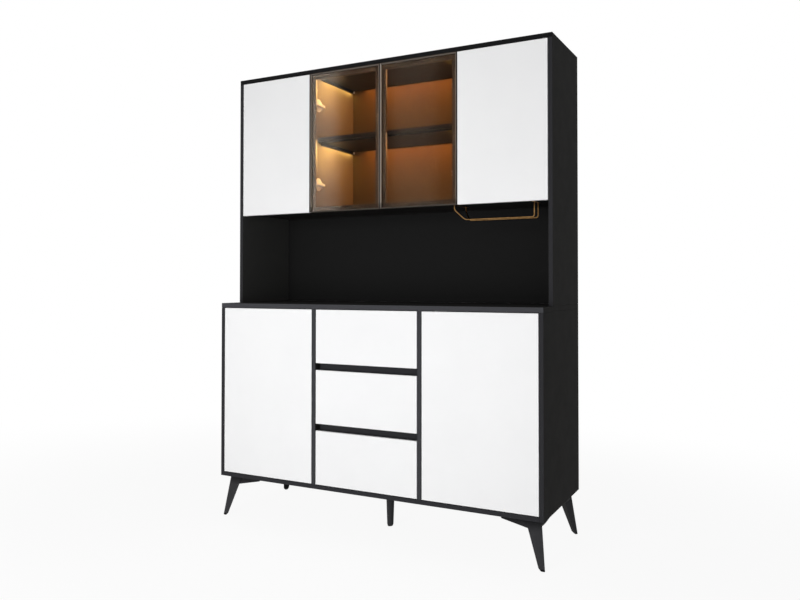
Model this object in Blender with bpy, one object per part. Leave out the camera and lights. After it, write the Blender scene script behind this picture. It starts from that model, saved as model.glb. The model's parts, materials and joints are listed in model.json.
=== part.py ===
"""China cabinet on five metal legs.

A black carcass with white doors and drawers carries a shallower hutch, with white
and glazed doors above an open niche. Metres, +Z up. The cabinet stands on Z = 0,
centred on the Z axis, with its front towards -Y.
"""
import math

import bmesh
import bpy
from mathutils import Matrix, Vector

# Outline of the cabinet
WIDTH = 1.600
DEPTH = 0.400
LEG_HEIGHT = 0.185
BASE_HEIGHT = 0.790
HUTCH_HEIGHT = 1.059
HUTCH_DEPTH = 0.300
NICHE_HEIGHT = 0.419

# Boards, doors and drawer fronts
BOARD = 0.018
WORKTOP = 0.020
BACK_PANEL = 0.005
BACK_INSET = 0.006
FRONT = 0.018
EDGE_ROUND = 0.0008
BASE_DOOR_WIDTH = 0.503
HUTCH_DOOR_WIDTH = 0.397
DOOR_OVERHANG = 0.008
SHELF_SETBACK = 0.016
HUTCH_SHELF_RISE = 0.009

# Clearances: touching pieces, round the fronts, beside the glazed doors, and behind doors that
# cover an edge
SEAT = 0.0003
DOOR_GAP = 0.0025
GLAZED_GAP = 0.005
OVERLAY_GAP = 0.002

# Drawers, the rails between them and their slides
FINGER_GAP = 0.030
FINGER_BEVEL = 0.008
RAIL_SETBACK = 0.028
RAIL_LAP = 0.015
BOX_WALL = 0.012
BOX_FLOOR = 0.008
BOX_RAIL_CLEARANCE = 0.012
BOX_HEADROOM = 0.018
BOX_BACK_CLEARANCE = 0.025
SLIDE_SPACE = 0.0127
SLIDE_GAUGE = 0.002
SLIDE_HEIGHT = 0.034
SLIDE_FRONT_GAP = 0.004
RUNNER_RISE = 0.014
RUNNER_HEIGHT = 0.016
RUNNER_CLEARANCE = 0.0006

# Glazed doors: a frame with a narrow lip round a pane that lies a little behind its front
FRAME_WIDTH = 0.024
FRAME_LIP = 0.0045
PANE_SETBACK = 0.004
GLASS = 0.004

# Concealed hinges: an arm on the carcass whose tip lies in a cup in the door
HINGE_INSET = 0.132
CUP_DIAMETER = 0.035
CUP_EDGE = 0.004
CUP_POCKET = 0.0063
TIP_LENGTH = 0.010
SWING_CLEARANCE = 0.001
ARM_WIDTH = 0.012
ARM_HEIGHT = 0.014
ARM_LENGTH = 0.060
ARM_KNEE = 0.016
ARM_BASE = 0.020

# Corner legs: a splayed three-sided post with two wings under a top plate
FOOT_SIDE_INSET = 0.001
FOOT_FRONT_INSET = 0.013
LEG_TOP_SIDE_INSET = 0.0235
LEG_TOP_FRONT_INSET = 0.0365
FOOT_WIDTH = 0.027
FOOT_CHAMFER = 0.010
FOOT_RIDGE_OFFSET = 0.008
FOOT_RIDGE_DEPTH = 0.016
FOOT_RIDGE_RISE = 0.012
POST_WIDTH = 0.060
POST_RIDGE_OFFSET = 0.021
POST_RIDGE_DEPTH = 0.038
POST_ROUND = 0.0015
FRONT_WING_DROP = 0.041
SIDE_WING_DROP = 0.028
WING_TIP = 0.019
WING = 0.005
WING_SETBACK = 0.002
FRONT_WING_REACH = 0.170
SIDE_WING_REACH = 0.120
LEG_PLATE = 0.004
LEG_PLATE_LIP = 0.001

# Centre leg: turned and tapered, under a round plate, a little ahead of the middle
CENTRE_LEG_FORWARD = 0.020
CENTRE_FOOT_RADIUS = 0.0135
CENTRE_TOP_RADIUS = 0.019
CENTRE_FOOT_ROUND = 0.005
CENTRE_PLATE_RADIUS = 0.030
CENTRE_SIDES = 28

# Stemware rack: two bent rods under the hutch floor, open at their left end
RACK_WIRE = 0.006
RACK_SLOT = 0.040
RACK_MOUTH = 0.100
RACK_LENGTH = 0.316
RACK_FLARE = 0.034
RACK_DROP = 0.062
RACK_KNEE = 0.023
RACK_BEND = 0.012
RACK_SETBACK = 0.100
RACK_END_INSET = 0.0915
RACK_PLATE = 0.0025
RACK_PLATE_WIDTH = 0.016
RACK_PLATE_MARGIN = 0.010
RACK_SIDES = 10

# Light bar under the hutch top
LIGHT_WIDTH = 0.016
LIGHT_HEIGHT = 0.008
LIGHT_SETBACK = 0.024

# Planes that the pieces share
LEFT = -WIDTH / 2
BASE_FRONT = -DEPTH / 2
REAR = DEPTH / 2
HUTCH_FRONT = REAR - HUTCH_DEPTH
PANEL_FRONT = REAR - BACK_INSET - BACK_PANEL
BASE_UNDERSIDE = LEG_HEIGHT
BASE_FLOOR = BASE_UNDERSIDE + BOARD
WORKTOP_TOP = BASE_UNDERSIDE + BASE_HEIGHT
WORKTOP_UNDERSIDE = WORKTOP_TOP - WORKTOP
HUTCH_CROWN = WORKTOP_TOP + HUTCH_HEIGHT
HUTCH_CEILING = HUTCH_CROWN - BOARD
NICHE_CEILING = WORKTOP_TOP + NICHE_HEIGHT
HUTCH_FLOOR = NICHE_CEILING + BOARD
SIDE_INNER = LEFT + BOARD

BASE_DOOR_EDGE = SIDE_INNER + DOOR_GAP
BASE_DIVIDER = BASE_DOOR_EDGE + BASE_DOOR_WIDTH + DOOR_GAP
DRAWER_BAY = BASE_DIVIDER + BOARD
BASE_DOOR_LOW = BASE_FLOOR + DOOR_GAP
BASE_DOOR_HIGH = WORKTOP_UNDERSIDE - DOOR_GAP
DRAWER_HEIGHT = (BASE_DOOR_HIGH - BASE_DOOR_LOW - 2 * FINGER_GAP) / 3

HUTCH_DOOR_EDGE = SIDE_INNER + DOOR_GAP
GLASS_DOOR_EDGE = HUTCH_DOOR_EDGE + HUTCH_DOOR_WIDTH + GLAZED_GAP
GLASS_DOOR_WIDTH = -GLAZED_GAP / 2 - GLASS_DOOR_EDGE
HUTCH_DIVIDER = GLASS_DOOR_EDGE - GLAZED_GAP / 2 - BOARD / 2
CENTRE_BAY = HUTCH_DIVIDER + BOARD
HUTCH_DOOR_LOW = NICHE_CEILING - DOOR_OVERHANG
HUTCH_DOOR_HIGH = HUTCH_CEILING - DOOR_GAP
HUTCH_INSIDE = HUTCH_FRONT + FRONT + OVERLAY_GAP

# Finishes: colour, roughness and metallic value
FINISHES = {
    "black_board": ((0.030, 0.030, 0.033), 0.45, 0.0),
    "back_board": ((0.022, 0.022, 0.023), 0.55, 0.0),
    "white_front": ((0.86, 0.86, 0.86), 0.28, 0.0),
    "drawer_board": ((0.42, 0.41, 0.40), 0.55, 0.0),
    "leg_metal": ((0.028, 0.028, 0.030), 0.42, 0.4),
    "frame_metal": ((0.24, 0.21, 0.18), 0.38, 0.9),
    "bronze_glass": ((0.26, 0.18, 0.11), 0.05, 0.0),
    "aged_brass": ((0.42, 0.29, 0.15), 0.32, 1.0),
    "hinge_steel": ((0.62, 0.62, 0.63), 0.30, 1.0),
    "slide_steel": ((0.55, 0.55, 0.56), 0.38, 1.0),
    "warm_light": ((1.0, 0.86, 0.62), 0.40, 0.0),
}


def clear_scene():
    """Removes whatever the scene holds."""
    for old in list(bpy.data.objects):
        bpy.data.objects.remove(old, do_unlink=True)


def finish(name):
    """Returns the named finish as a material, made on its first use."""
    material = bpy.data.materials.get(name)
    if material is None:
        colour, roughness, metallic = FINISHES[name]
        material = bpy.data.materials.new(name)
        material.use_nodes = True
        shader = material.node_tree.nodes["Principled BSDF"]
        shader.inputs["Base Color"].default_value = (*colour, 1.0)
        shader.inputs["Roughness"].default_value = roughness
        shader.inputs["Metallic"].default_value = metallic
    return material


def joint(name, point):
    """Adds an empty on a joint's axis, which the moving pieces hang on."""
    empty = bpy.data.objects.new(name, None)
    empty.empty_display_size = 0.05
    empty.location = point
    bpy.context.scene.collection.objects.link(empty)
    return empty


def piece(name, solid, finish_name, carrier=None, smooth=False):
    """Turns a solid in cabinet coordinates into a named piece.

    A fixed piece has its origin at its own centre. A moving one has it on its
    carrier, the empty on the joint's axis.
    """
    if carrier:
        origin = carrier.location.copy()
    else:
        corners = [vert.co for vert in solid.verts]
        low = Vector(map(min, zip(*corners)))
        high = Vector(map(max, zip(*corners)))
        origin = (low + high) / 2
    bmesh.ops.translate(solid, verts=solid.verts, vec=-origin)
    mesh = bpy.data.meshes.new(name)
    solid.to_mesh(mesh)
    solid.free()
    if smooth:
        mesh.shade_smooth()
        mesh.set_sharp_from_angle(angle=math.radians(40))
    made = bpy.data.objects.new(name, mesh)
    made.data.materials.append(finish(finish_name))
    bpy.context.scene.collection.objects.link(made)
    if carrier:
        made.parent = carrier
    else:
        made.location = origin
    return made


def block(low, high, rounding=EDGE_ROUND):
    """A board between two corners, with its edges eased."""
    solid = bmesh.new()
    bmesh.ops.create_cube(solid, size=1.0)
    size = Vector(high) - Vector(low)
    centre = (Vector(high) + Vector(low)) / 2
    bmesh.ops.scale(solid, verts=solid.verts, vec=size)
    bmesh.ops.translate(solid, verts=solid.verts, vec=centre)
    if rounding:
        ease(solid, rounding)
    return solid


def ease(solid, rounding):
    """Rounds every edge of a solid."""
    bmesh.ops.bevel(
        solid, geom=solid.edges[:], offset=rounding, segments=2, profile=0.5, affect="EDGES"
    )


def prism(outline, place, near, far):
    """Extrudes an outline; place(u, v, w) gives a point's position at depth w."""
    solid = bmesh.new()
    first = [solid.verts.new(place(u, v, near)) for u, v in outline]
    second = [solid.verts.new(place(u, v, far)) for u, v in outline]
    solid.faces.new(first)
    solid.faces.new(second)
    for i in range(len(outline)):
        j = (i + 1) % len(outline)
        solid.faces.new((first[i], first[j], second[j], second[i]))
    bmesh.ops.recalc_face_normals(solid, faces=solid.faces)
    return solid


def ring(solid, rows):
    """Joins closed rows of points, each to the next and the last to the first."""
    rings = [[solid.verts.new(point) for point in row] for row in rows]
    for a, row in enumerate(rings):
        after = rings[(a + 1) % len(rings)]
        for i in range(len(row)):
            j = (i + 1) % len(row)
            solid.faces.new((row[i], row[j], after[j], after[i]))
    bmesh.ops.recalc_face_normals(solid, faces=solid.faces)


def lofted(rows):
    """A solid through rows of points, closed at both ends."""
    solid = bmesh.new()
    rings = [[solid.verts.new(point) for point in row] for row in rows]
    for before, after in zip(rings, rings[1:]):
        for i in range(len(before)):
            j = (i + 1) % len(before)
            solid.faces.new((before[i], before[j], after[j], after[i]))
    solid.faces.new(rings[0])
    solid.faces.new(rings[-1])
    bmesh.ops.recalc_face_normals(solid, faces=solid.faces)
    return solid


def mirrored(solid):
    """Turns a left-hand solid into the right-hand one."""
    bmesh.ops.scale(solid, verts=solid.verts, vec=(-1, 1, 1))
    bmesh.ops.reverse_faces(solid, faces=solid.faces)
    return solid


def combined(solid, tools, operation):
    """Joins tools to a solid, or cuts them out of it, and returns the result."""
    helpers = []
    for shape in (solid, *tools):
        mesh = bpy.data.meshes.new("helper")
        shape.to_mesh(mesh)
        shape.free()
        helper = bpy.data.objects.new("helper", mesh)
        bpy.context.scene.collection.objects.link(helper)
        helpers.append(helper)
    body = helpers[0]
    for tool in helpers[1:]:
        step = body.modifiers.new("step", "BOOLEAN")
        step.operation = operation
        step.solver = "EXACT"
        step.object = tool
    bpy.context.view_layer.update()
    result = bmesh.new()
    result.from_object(body, bpy.context.evaluated_depsgraph_get())
    for helper in helpers:
        mesh = helper.data
        bpy.data.objects.remove(helper, do_unlink=True)
        bpy.data.meshes.remove(mesh)
    return result


def turned(profile, sides, centre):
    """A round solid from (radius, height) points, listed upwards."""
    rows = []
    for radius, height in profile:
        row = []
        for k in range(sides):
            angle = 2 * math.pi * k / sides
            offset = Vector((radius * math.cos(angle), radius * math.sin(angle), height))
            row.append(Vector(centre) + offset)
        rows.append(row)
    return lofted(rows)


def rounded_path(corners, bend, steps=4):
    """A path through corners, each turned into a smooth bend."""
    path = [Vector(corners[0])]
    for before, corner, after in zip(corners, corners[1:], corners[2:]):
        corner = Vector(corner)
        start = corner + (Vector(before) - corner).normalized() * bend
        end = corner + (Vector(after) - corner).normalized() * bend
        for k in range(steps + 1):
            t = k / steps
            path.append(start * (1 - t) ** 2 + corner * 2 * t * (1 - t) + end * t * t)
    path.append(Vector(corners[-1]))
    return path


def wire(path, radius, sides):
    """A round wire along a path, with its section turned as little as can be."""
    rows = []
    heading = (path[1] - path[0]).normalized()
    across = heading.orthogonal().normalized()
    for i, point in enumerate(path):
        ahead = path[min(i + 1, len(path) - 1)] - path[max(i - 1, 0)]
        turn = heading.rotation_difference(ahead.normalized())
        heading = ahead.normalized()
        across = turn @ across
        up = heading.cross(across)
        angles = [2 * math.pi * k / sides for k in range(sides)]
        rows.append([point + (across * math.cos(a) + up * math.sin(a)) * radius for a in angles])
    return lofted(rows)


def pair(pattern, build, finish_name, smooth=False):
    """Adds a fixed piece on the left and its mirror image on the right."""
    piece(pattern.format("left"), build(), finish_name, smooth=smooth)
    piece(pattern.format("right"), mirrored(build()), finish_name, smooth=smooth)


def base_carcass():
    """Sides, worktop, floor, dividers and back of the low part."""
    pair("base_{}_side", lambda: block(
        (LEFT, BASE_FRONT, BASE_UNDERSIDE),
        (SIDE_INNER, REAR, WORKTOP_UNDERSIDE - SEAT)), "black_board")
    piece("worktop", block(
        (LEFT, BASE_FRONT, WORKTOP_UNDERSIDE), (-LEFT, REAR, WORKTOP_TOP)), "black_board")
    piece("base_floor", block(
        (SIDE_INNER + SEAT, BASE_FRONT, BASE_UNDERSIDE),
        (-SIDE_INNER - SEAT, REAR, BASE_FLOOR)), "black_board")
    pair("base_{}_divider", lambda: block(
        (BASE_DIVIDER, BASE_FRONT, BASE_FLOOR + SEAT),
        (DRAWER_BAY, PANEL_FRONT - SEAT, WORKTOP_UNDERSIDE - SEAT)), "black_board")
    piece("base_back", block(
        (SIDE_INNER + SEAT, PANEL_FRONT, BASE_FLOOR + SEAT),
        (-SIDE_INNER - SEAT, PANEL_FRONT + BACK_PANEL, WORKTOP_UNDERSIDE - SEAT)), "back_board")
    middle = (BASE_FLOOR + WORKTOP_UNDERSIDE) / 2
    pair("base_{}_shelf", lambda: block(
        (SIDE_INNER + SEAT, BASE_FRONT + FRONT + OVERLAY_GAP + SHELF_SETBACK, middle - BOARD / 2),
        (BASE_DIVIDER - SEAT, PANEL_FRONT - SEAT, middle + BOARD / 2)), "black_board")


def hutch_carcass():
    """Sides, top, floor, dividers, back and shelves of the upper part."""
    pair("hutch_{}_side", lambda: block(
        (LEFT, HUTCH_FRONT, WORKTOP_TOP + SEAT),
        (SIDE_INNER, REAR, HUTCH_CEILING - SEAT)), "black_board")
    piece("hutch_top", block(
        (LEFT, HUTCH_FRONT, HUTCH_CEILING), (-LEFT, REAR, HUTCH_CROWN)), "black_board")
    piece("hutch_floor", block(
        (SIDE_INNER + SEAT, HUTCH_INSIDE, NICHE_CEILING),
        (-SIDE_INNER - SEAT, PANEL_FRONT - SEAT, HUTCH_FLOOR)), "black_board")
    pair("hutch_{}_divider", lambda: block(
        (HUTCH_DIVIDER, HUTCH_INSIDE, HUTCH_FLOOR + SEAT),
        (CENTRE_BAY, PANEL_FRONT - SEAT, HUTCH_CEILING - SEAT)), "black_board")
    piece("hutch_back", block(
        (SIDE_INNER + SEAT, PANEL_FRONT, WORKTOP_TOP + SEAT),
        (-SIDE_INNER - SEAT, PANEL_FRONT + BACK_PANEL, HUTCH_CEILING - SEAT)), "back_board")
    middle = (HUTCH_FLOOR + HUTCH_CEILING) / 2 + HUTCH_SHELF_RISE
    pair("hutch_{}_shelf", lambda: block(
        (SIDE_INNER + SEAT, HUTCH_INSIDE + SHELF_SETBACK, middle - BOARD / 2),
        (HUTCH_DIVIDER - SEAT, PANEL_FRONT - SEAT, middle + BOARD / 2)), "black_board")
    piece("hutch_centre_shelf", block(
        (CENTRE_BAY + SEAT, HUTCH_INSIDE + SHELF_SETBACK, middle - BOARD / 2),
        (-CENTRE_BAY - SEAT, PANEL_FRONT - SEAT, middle + BOARD / 2)), "black_board")
    bar_front = HUTCH_INSIDE + LIGHT_SETBACK
    bar_top = HUTCH_CEILING - SEAT
    piece("light_bar", block(
        (CENTRE_BAY + SEAT, bar_front, bar_top - LIGHT_HEIGHT),
        (-CENTRE_BAY - SEAT, bar_front + LIGHT_WIDTH, bar_top)), "warm_light")


def hinge_heights(low, high):
    """Heights of a door's two hinges."""
    return low + HINGE_INSET, high - HINGE_INSET


def hinge_arm(edge, front, mount, height):
    """A left-hand hinge arm from its face on the carcass into the door's cup.

    The tip starts where it clears the cup's rim as the door swings about the
    front corner of its edge.
    """
    tip_depth = FRONT - CUP_POCKET + SEAT
    tip_start = math.sqrt(FRONT ** 2 + CUP_EDGE ** 2 - tip_depth ** 2) + SWING_CLEARANCE
    tip_end = tip_start + TIP_LENGTH
    base = mount - edge + SEAT
    outline = (
        (tip_start, tip_depth),
        (tip_end, tip_depth),
        (tip_end, FRONT + ARM_KNEE),
        (base + ARM_HEIGHT, FRONT + 2 * ARM_KNEE),
        (base + ARM_HEIGHT, FRONT + ARM_LENGTH),
        (base, FRONT + ARM_LENGTH),
        (base, FRONT + ARM_BASE),
        (tip_start, FRONT + ARM_KNEE / 2),
    )
    return prism(
        outline, lambda u, v, w: (edge + u, front + v, w), height - ARM_WIDTH / 2, height + ARM_WIDTH / 2
    )


def hinge_arms(door, edge, front, mount, low, high):
    """The lower and upper hinge arms of a door on the left and its mirror on the right."""
    for place, height in zip(("lower", "upper"), hinge_heights(low, high)):
        pair(f"{door}_{place}_hinge", lambda h=height: hinge_arm(edge, front, mount, h), "hinge_steel")


def board_door(edge, width, front, low, high):
    """A left-hand door board with the two hinge cups in its back."""
    board = block((edge, front, low), (edge + width, front + FRONT, high))
    centre = edge + CUP_EDGE + CUP_DIAMETER / 2
    cups = []
    for height in hinge_heights(low, high):
        outline = [
            (CUP_DIAMETER / 2 * math.cos(a), CUP_DIAMETER / 2 * math.sin(a))
            for a in (2 * math.pi * k / 32 for k in range(32))
        ]
        cups.append(prism(
            outline, lambda u, v, w, h=height: (centre + u, w, h + v),
            front + FRONT - CUP_POCKET, front + FRONT + CUP_POCKET))
    return combined(board, cups, "DIFFERENCE")


def glass_frame(edge, width, front, low, high):
    """A left-hand door frame, rebated for its pane and notched for its hinges."""
    bed = front + PANE_SETBACK + GLASS + SEAT
    section = (
        (0.0, front),
        (FRAME_LIP, front),
        (FRAME_LIP, bed),
        (FRAME_WIDTH, bed),
        (FRAME_WIDTH, front + FRONT),
        (0.0, front + FRONT),
    )
    corners = ((edge, low, 1, 1), (edge + width, low, -1, 1), (edge + width, high, -1, -1), (edge, high, 1, -1))
    frame = bmesh.new()
    ring(frame, [[(x + i * sx, y, z + i * sz) for i, y in section] for x, z, sx, sz in corners])
    notch = CUP_DIAMETER / 2
    back = front + FRONT
    cuts = [
        block((edge + CUP_EDGE, back - CUP_POCKET, h - notch),
              (edge + FRAME_WIDTH + CUP_EDGE, back + CUP_POCKET, h + notch), 0)
        for h in hinge_heights(low, high)
    ]
    return combined(frame, cuts, "DIFFERENCE")


def glass_pane(edge, width, front, low, high):
    """The pane of a glazed door, inside its frame's lip."""
    margin = FRAME_LIP + SEAT
    face = front + PANE_SETBACK
    return block(
        (edge + margin, face, low + margin),
        (edge + width - margin, face + GLASS, high - margin), EDGE_ROUND / 2)


def door_pair(pattern, shapes, edge, front, low, high):
    """Hangs left and right doors on their hinge axes, at the front corner of the edge."""
    for side in ("left", "right"):
        x = edge if side == "left" else -edge
        axis = joint(pattern.format(side) + "_axis", (x, front, (low + high) / 2))
        for suffix, build, finish_name in shapes:
            solid = build() if side == "left" else mirrored(build())
            piece(pattern.format(side) + suffix, solid, finish_name, axis)


def doors():
    """The white doors, the glazed doors and their hinge arms."""
    base = (BASE_DOOR_EDGE, BASE_DOOR_WIDTH, BASE_FRONT, BASE_DOOR_LOW, BASE_DOOR_HIGH)
    door_pair(
        "base_{}_door", [("", lambda: board_door(*base), "white_front")],
        BASE_DOOR_EDGE, BASE_FRONT, BASE_DOOR_LOW, BASE_DOOR_HIGH)
    hinge_arms("base_{}", BASE_DOOR_EDGE, BASE_FRONT, SIDE_INNER, BASE_DOOR_LOW, BASE_DOOR_HIGH)

    hutch = (HUTCH_DOOR_EDGE, HUTCH_DOOR_WIDTH, HUTCH_FRONT, HUTCH_DOOR_LOW, HUTCH_DOOR_HIGH)
    door_pair(
        "hutch_{}_door", [("", lambda: board_door(*hutch), "white_front")],
        HUTCH_DOOR_EDGE, HUTCH_FRONT, HUTCH_DOOR_LOW, HUTCH_DOOR_HIGH)
    hinge_arms("hutch_{}", HUTCH_DOOR_EDGE, HUTCH_FRONT, SIDE_INNER, HUTCH_DOOR_LOW, HUTCH_DOOR_HIGH)

    glazed = (GLASS_DOOR_EDGE, GLASS_DOOR_WIDTH, HUTCH_FRONT, HUTCH_DOOR_LOW, HUTCH_DOOR_HIGH)
    door_pair(
        "glass_{}_door", [
            ("_frame", lambda: glass_frame(*glazed), "frame_metal"),
            ("_pane", lambda: glass_pane(*glazed), "bronze_glass"),
        ], GLASS_DOOR_EDGE, HUTCH_FRONT, HUTCH_DOOR_LOW, HUTCH_DOOR_HIGH)
    hinge_arms("glass_{}", GLASS_DOOR_EDGE, HUTCH_FRONT, CENTRE_BAY, HUTCH_DOOR_LOW, HUTCH_DOOR_HIGH)


def drawer_front(low, high, bevel_low, bevel_high):
    """A drawer front, bevelled behind the edges that fingers pull."""
    back = BASE_FRONT + FRONT
    cut_low = FINGER_BEVEL if bevel_low else 0.0
    cut_high = FINGER_BEVEL if bevel_high else 0.0
    outline = [(BASE_FRONT, low), (back - cut_low, low)]
    if bevel_low:
        outline.append((back, low + cut_low))
    if bevel_high:
        outline.append((back, high - cut_high))
    outline += [(back - cut_high, high), (BASE_FRONT, high)]
    side = DRAWER_BAY + DOOR_GAP
    solid = prism(outline, lambda u, v, w: (w, u, v), side, -side)
    ease(solid, EDGE_ROUND)
    return solid


def drawer_box(low, high):
    """An open box with a runner along each side."""
    side = DRAWER_BAY + SLIDE_SPACE
    near = BASE_FRONT + FRONT + SEAT
    far = PANEL_FRONT - BOX_BACK_CLEARANCE
    box = block((side, near, low), (-side, far, high), 0)
    hollow = block(
        (side + BOX_WALL, near + BOX_WALL, low + BOX_FLOOR),
        (-side - BOX_WALL, far - BOX_WALL, high + BOX_FLOOR), 0)
    open_box = combined(box, [hollow], "DIFFERENCE")
    reach = DRAWER_BAY + SEAT + SLIDE_GAUGE + RUNNER_CLEARANCE
    runner_front = near + SLIDE_FRONT_GAP
    left_runner = block(
        (reach, runner_front, low + RUNNER_RISE),
        (side + BOX_WALL / 2, far - SLIDE_FRONT_GAP, low + RUNNER_RISE + RUNNER_HEIGHT), 0)
    right_runner = mirrored(left_runner.copy())
    return combined(open_box, [left_runner, right_runner], "UNION")


def drawer_slide(low):
    """A left-hand slide: a channel side on the divider and the flange that the runner rides on."""
    web = DRAWER_BAY + SEAT
    top = low + RUNNER_RISE - SEAT
    bottom = top - SLIDE_GAUGE
    outline = (
        (web, bottom),
        (DRAWER_BAY + SLIDE_SPACE - RUNNER_CLEARANCE, bottom),
        (DRAWER_BAY + SLIDE_SPACE - RUNNER_CLEARANCE, top),
        (web + SLIDE_GAUGE, top),
        (web + SLIDE_GAUGE, bottom + SLIDE_HEIGHT),
        (web, bottom + SLIDE_HEIGHT),
    )
    near = BASE_FRONT + FRONT + SLIDE_FRONT_GAP
    far = PANEL_FRONT - BOX_BACK_CLEARANCE
    return prism(outline, lambda u, v, w: (u, w, v), near, far)


def drawers():
    """Three drawers with their slides, and the rails behind the finger gaps."""
    pitch = DRAWER_HEIGHT + FINGER_GAP
    for i, level in enumerate(("lower", "middle", "upper")):
        low = BASE_DOOR_LOW + i * pitch
        high = low + DRAWER_HEIGHT
        axis = joint(f"{level}_drawer_axis", (0, BASE_FRONT, (low + high) / 2))
        piece(f"{level}_drawer_front", drawer_front(low, high, i > 0, i < 2), "white_front", axis)
        box_low = low + RAIL_LAP + BOX_RAIL_CLEARANCE
        box_high = high - RAIL_LAP - BOX_HEADROOM
        piece(f"{level}_drawer_box", drawer_box(box_low, box_high), "drawer_board", axis)
        pair(level + "_drawer_{}_slide", lambda b=box_low: drawer_slide(b), "slide_steel")
    for i, level in enumerate(("lower", "upper")):
        gap_low = BASE_DOOR_LOW + DRAWER_HEIGHT + i * pitch
        piece(f"{level}_drawer_rail", block(
            (DRAWER_BAY + SEAT, BASE_FRONT + RAIL_SETBACK, gap_low - RAIL_LAP),
            (-DRAWER_BAY - SEAT, BASE_FRONT + RAIL_SETBACK + BOARD, gap_low + FINGER_GAP + RAIL_LAP)),
            "black_board")


def corner_leg():
    """The front left leg: a splayed post, a wing along each side and a plate on top."""
    top = LEG_HEIGHT - SEAT
    tuck = top - LEG_PLATE / 2
    knee = top - FRONT_WING_DROP
    side_knee = top - SIDE_WING_DROP

    def place(a, b, z):
        side = FOOT_SIDE_INSET + (LEG_TOP_SIDE_INSET - FOOT_SIDE_INSET) * z / top
        front = FOOT_FRONT_INSET + (LEG_TOP_FRONT_INSET - FOOT_FRONT_INSET) * z / top
        return Vector((LEFT + side + a, BASE_FRONT + front + b, z))

    slope = (POST_WIDTH - FOOT_WIDTH) / (knee - FOOT_CHAMFER)
    head_width = POST_WIDTH + slope * (tuck - knee)
    post = bmesh.new()
    sole_depth = FOOT_RIDGE_DEPTH - FOOT_CHAMFER
    for a, b, z in (
        (0, 0, 0), (FOOT_WIDTH - FOOT_CHAMFER, 0, 0), (FOOT_WIDTH, 0, FOOT_CHAMFER),
        (FOOT_RIDGE_OFFSET, sole_depth, 0), (FOOT_RIDGE_OFFSET, FOOT_RIDGE_DEPTH, FOOT_RIDGE_RISE),
        (0, 0, tuck), (head_width, 0, tuck), (POST_RIDGE_OFFSET, POST_RIDGE_DEPTH, tuck),
    ):
        post.verts.new(place(a, b, z))
    bmesh.ops.convex_hull(post, input=post.verts)
    bmesh.ops.dissolve_limit(
        post, angle_limit=math.radians(0.5), verts=post.verts, edges=post.edges)
    ease(post, POST_ROUND)

    wing_end = WING_SETBACK + WING
    root = wing_end + WING_SETBACK
    front_outline = (
        (root, knee), (POST_WIDTH, knee), (FRONT_WING_REACH, top - WING_TIP),
        (FRONT_WING_REACH, tuck), (root, tuck))
    front_wing = prism(front_outline, lambda u, v, w: place(u, w, v), WING_SETBACK, wing_end)
    side_outline = (
        (root, side_knee), (POST_RIDGE_DEPTH, side_knee), (SIDE_WING_REACH, top - WING_TIP),
        (SIDE_WING_REACH, tuck), (root, tuck))
    side_wing = prism(side_outline, lambda u, v, w: place(w, u, v), WING_SETBACK, wing_end)

    inner = wing_end + LEG_PLATE_LIP
    outer = WING_SETBACK - LEG_PLATE_LIP
    plate_outline = (
        (outer, outer), (FRONT_WING_REACH + LEG_PLATE_LIP, outer), (FRONT_WING_REACH + LEG_PLATE_LIP, inner),
        (inner, SIDE_WING_REACH + LEG_PLATE_LIP), (outer, SIDE_WING_REACH + LEG_PLATE_LIP))
    plate = prism(plate_outline, place, top - LEG_PLATE, top)
    return combined(post, [front_wing, side_wing, plate], "UNION")


def legs():
    """Four corner legs, mirrored from one, and the leg under the middle."""
    pair("front_{}_leg", corner_leg, "leg_metal", smooth=True)

    def rear_leg():
        solid = corner_leg()
        bmesh.ops.scale(solid, verts=solid.verts, vec=(1, -1, 1))
        bmesh.ops.reverse_faces(solid, faces=solid.faces)
        return solid

    pair("rear_{}_leg", rear_leg, "leg_metal", smooth=True)

    top = LEG_HEIGHT - SEAT
    arc = [math.pi / 2 * k / 4 for k in range(5)]
    profile = [
        (CENTRE_FOOT_RADIUS - CENTRE_FOOT_ROUND * (1 - math.sin(a)), CENTRE_FOOT_ROUND * (1 - math.cos(a)))
        for a in arc
    ]
    profile += [
        (CENTRE_TOP_RADIUS, top - LEG_PLATE),
        (CENTRE_PLATE_RADIUS, top - LEG_PLATE),
        (CENTRE_PLATE_RADIUS, top),
    ]
    post = turned(profile, CENTRE_SIDES, (0, -CENTRE_LEG_FORWARD, 0))
    piece("centre_leg", post, "leg_metal", smooth=True)


def stemware_rack():
    """Two bent rods between two plates, under the right end of the hutch floor."""
    top = NICHE_CEILING - SEAT
    tuck = top - RACK_PLATE / 2
    right = -SIDE_INNER - RACK_END_INSET
    bend = right - RACK_LENGTH
    left = bend - RACK_FLARE
    middle = HUTCH_FRONT + RACK_SETBACK
    rods = []
    for side in (-1, 1):
        mouth = middle + side * RACK_MOUTH / 2
        slot = middle + side * RACK_SLOT / 2
        corners = (
            (left, mouth, tuck), (left, mouth, top - RACK_KNEE), (bend, slot, top - RACK_DROP),
            (right, slot, top - RACK_DROP), (right, slot, tuck))
        rods.append(wire(rounded_path(corners, RACK_BEND), RACK_WIRE / 2, RACK_SIDES))
    plates = []
    for x, spread in ((left, RACK_MOUTH), (right, RACK_SLOT)):
        reach = spread / 2 + RACK_PLATE_MARGIN
        plates.append(block(
            (x - RACK_PLATE_WIDTH / 2, middle - reach, top - RACK_PLATE),
            (x + RACK_PLATE_WIDTH / 2, middle + reach, top), 0))
    piece("stemware_rack", combined(plates[0], [*rods, plates[1]], "UNION"), "aged_brass", smooth=True)


def main():
    """Builds the cabinet from the floor up."""
    clear_scene()
    legs()
    base_carcass()
    drawers()
    hutch_carcass()
    doors()
    stemware_rack()


if __name__ == "__main__":
    main()
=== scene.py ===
"""Dresses the china cabinet: finishes, hinges, slides, fasteners, rack, lights and studio."""
from __future__ import annotations

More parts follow.
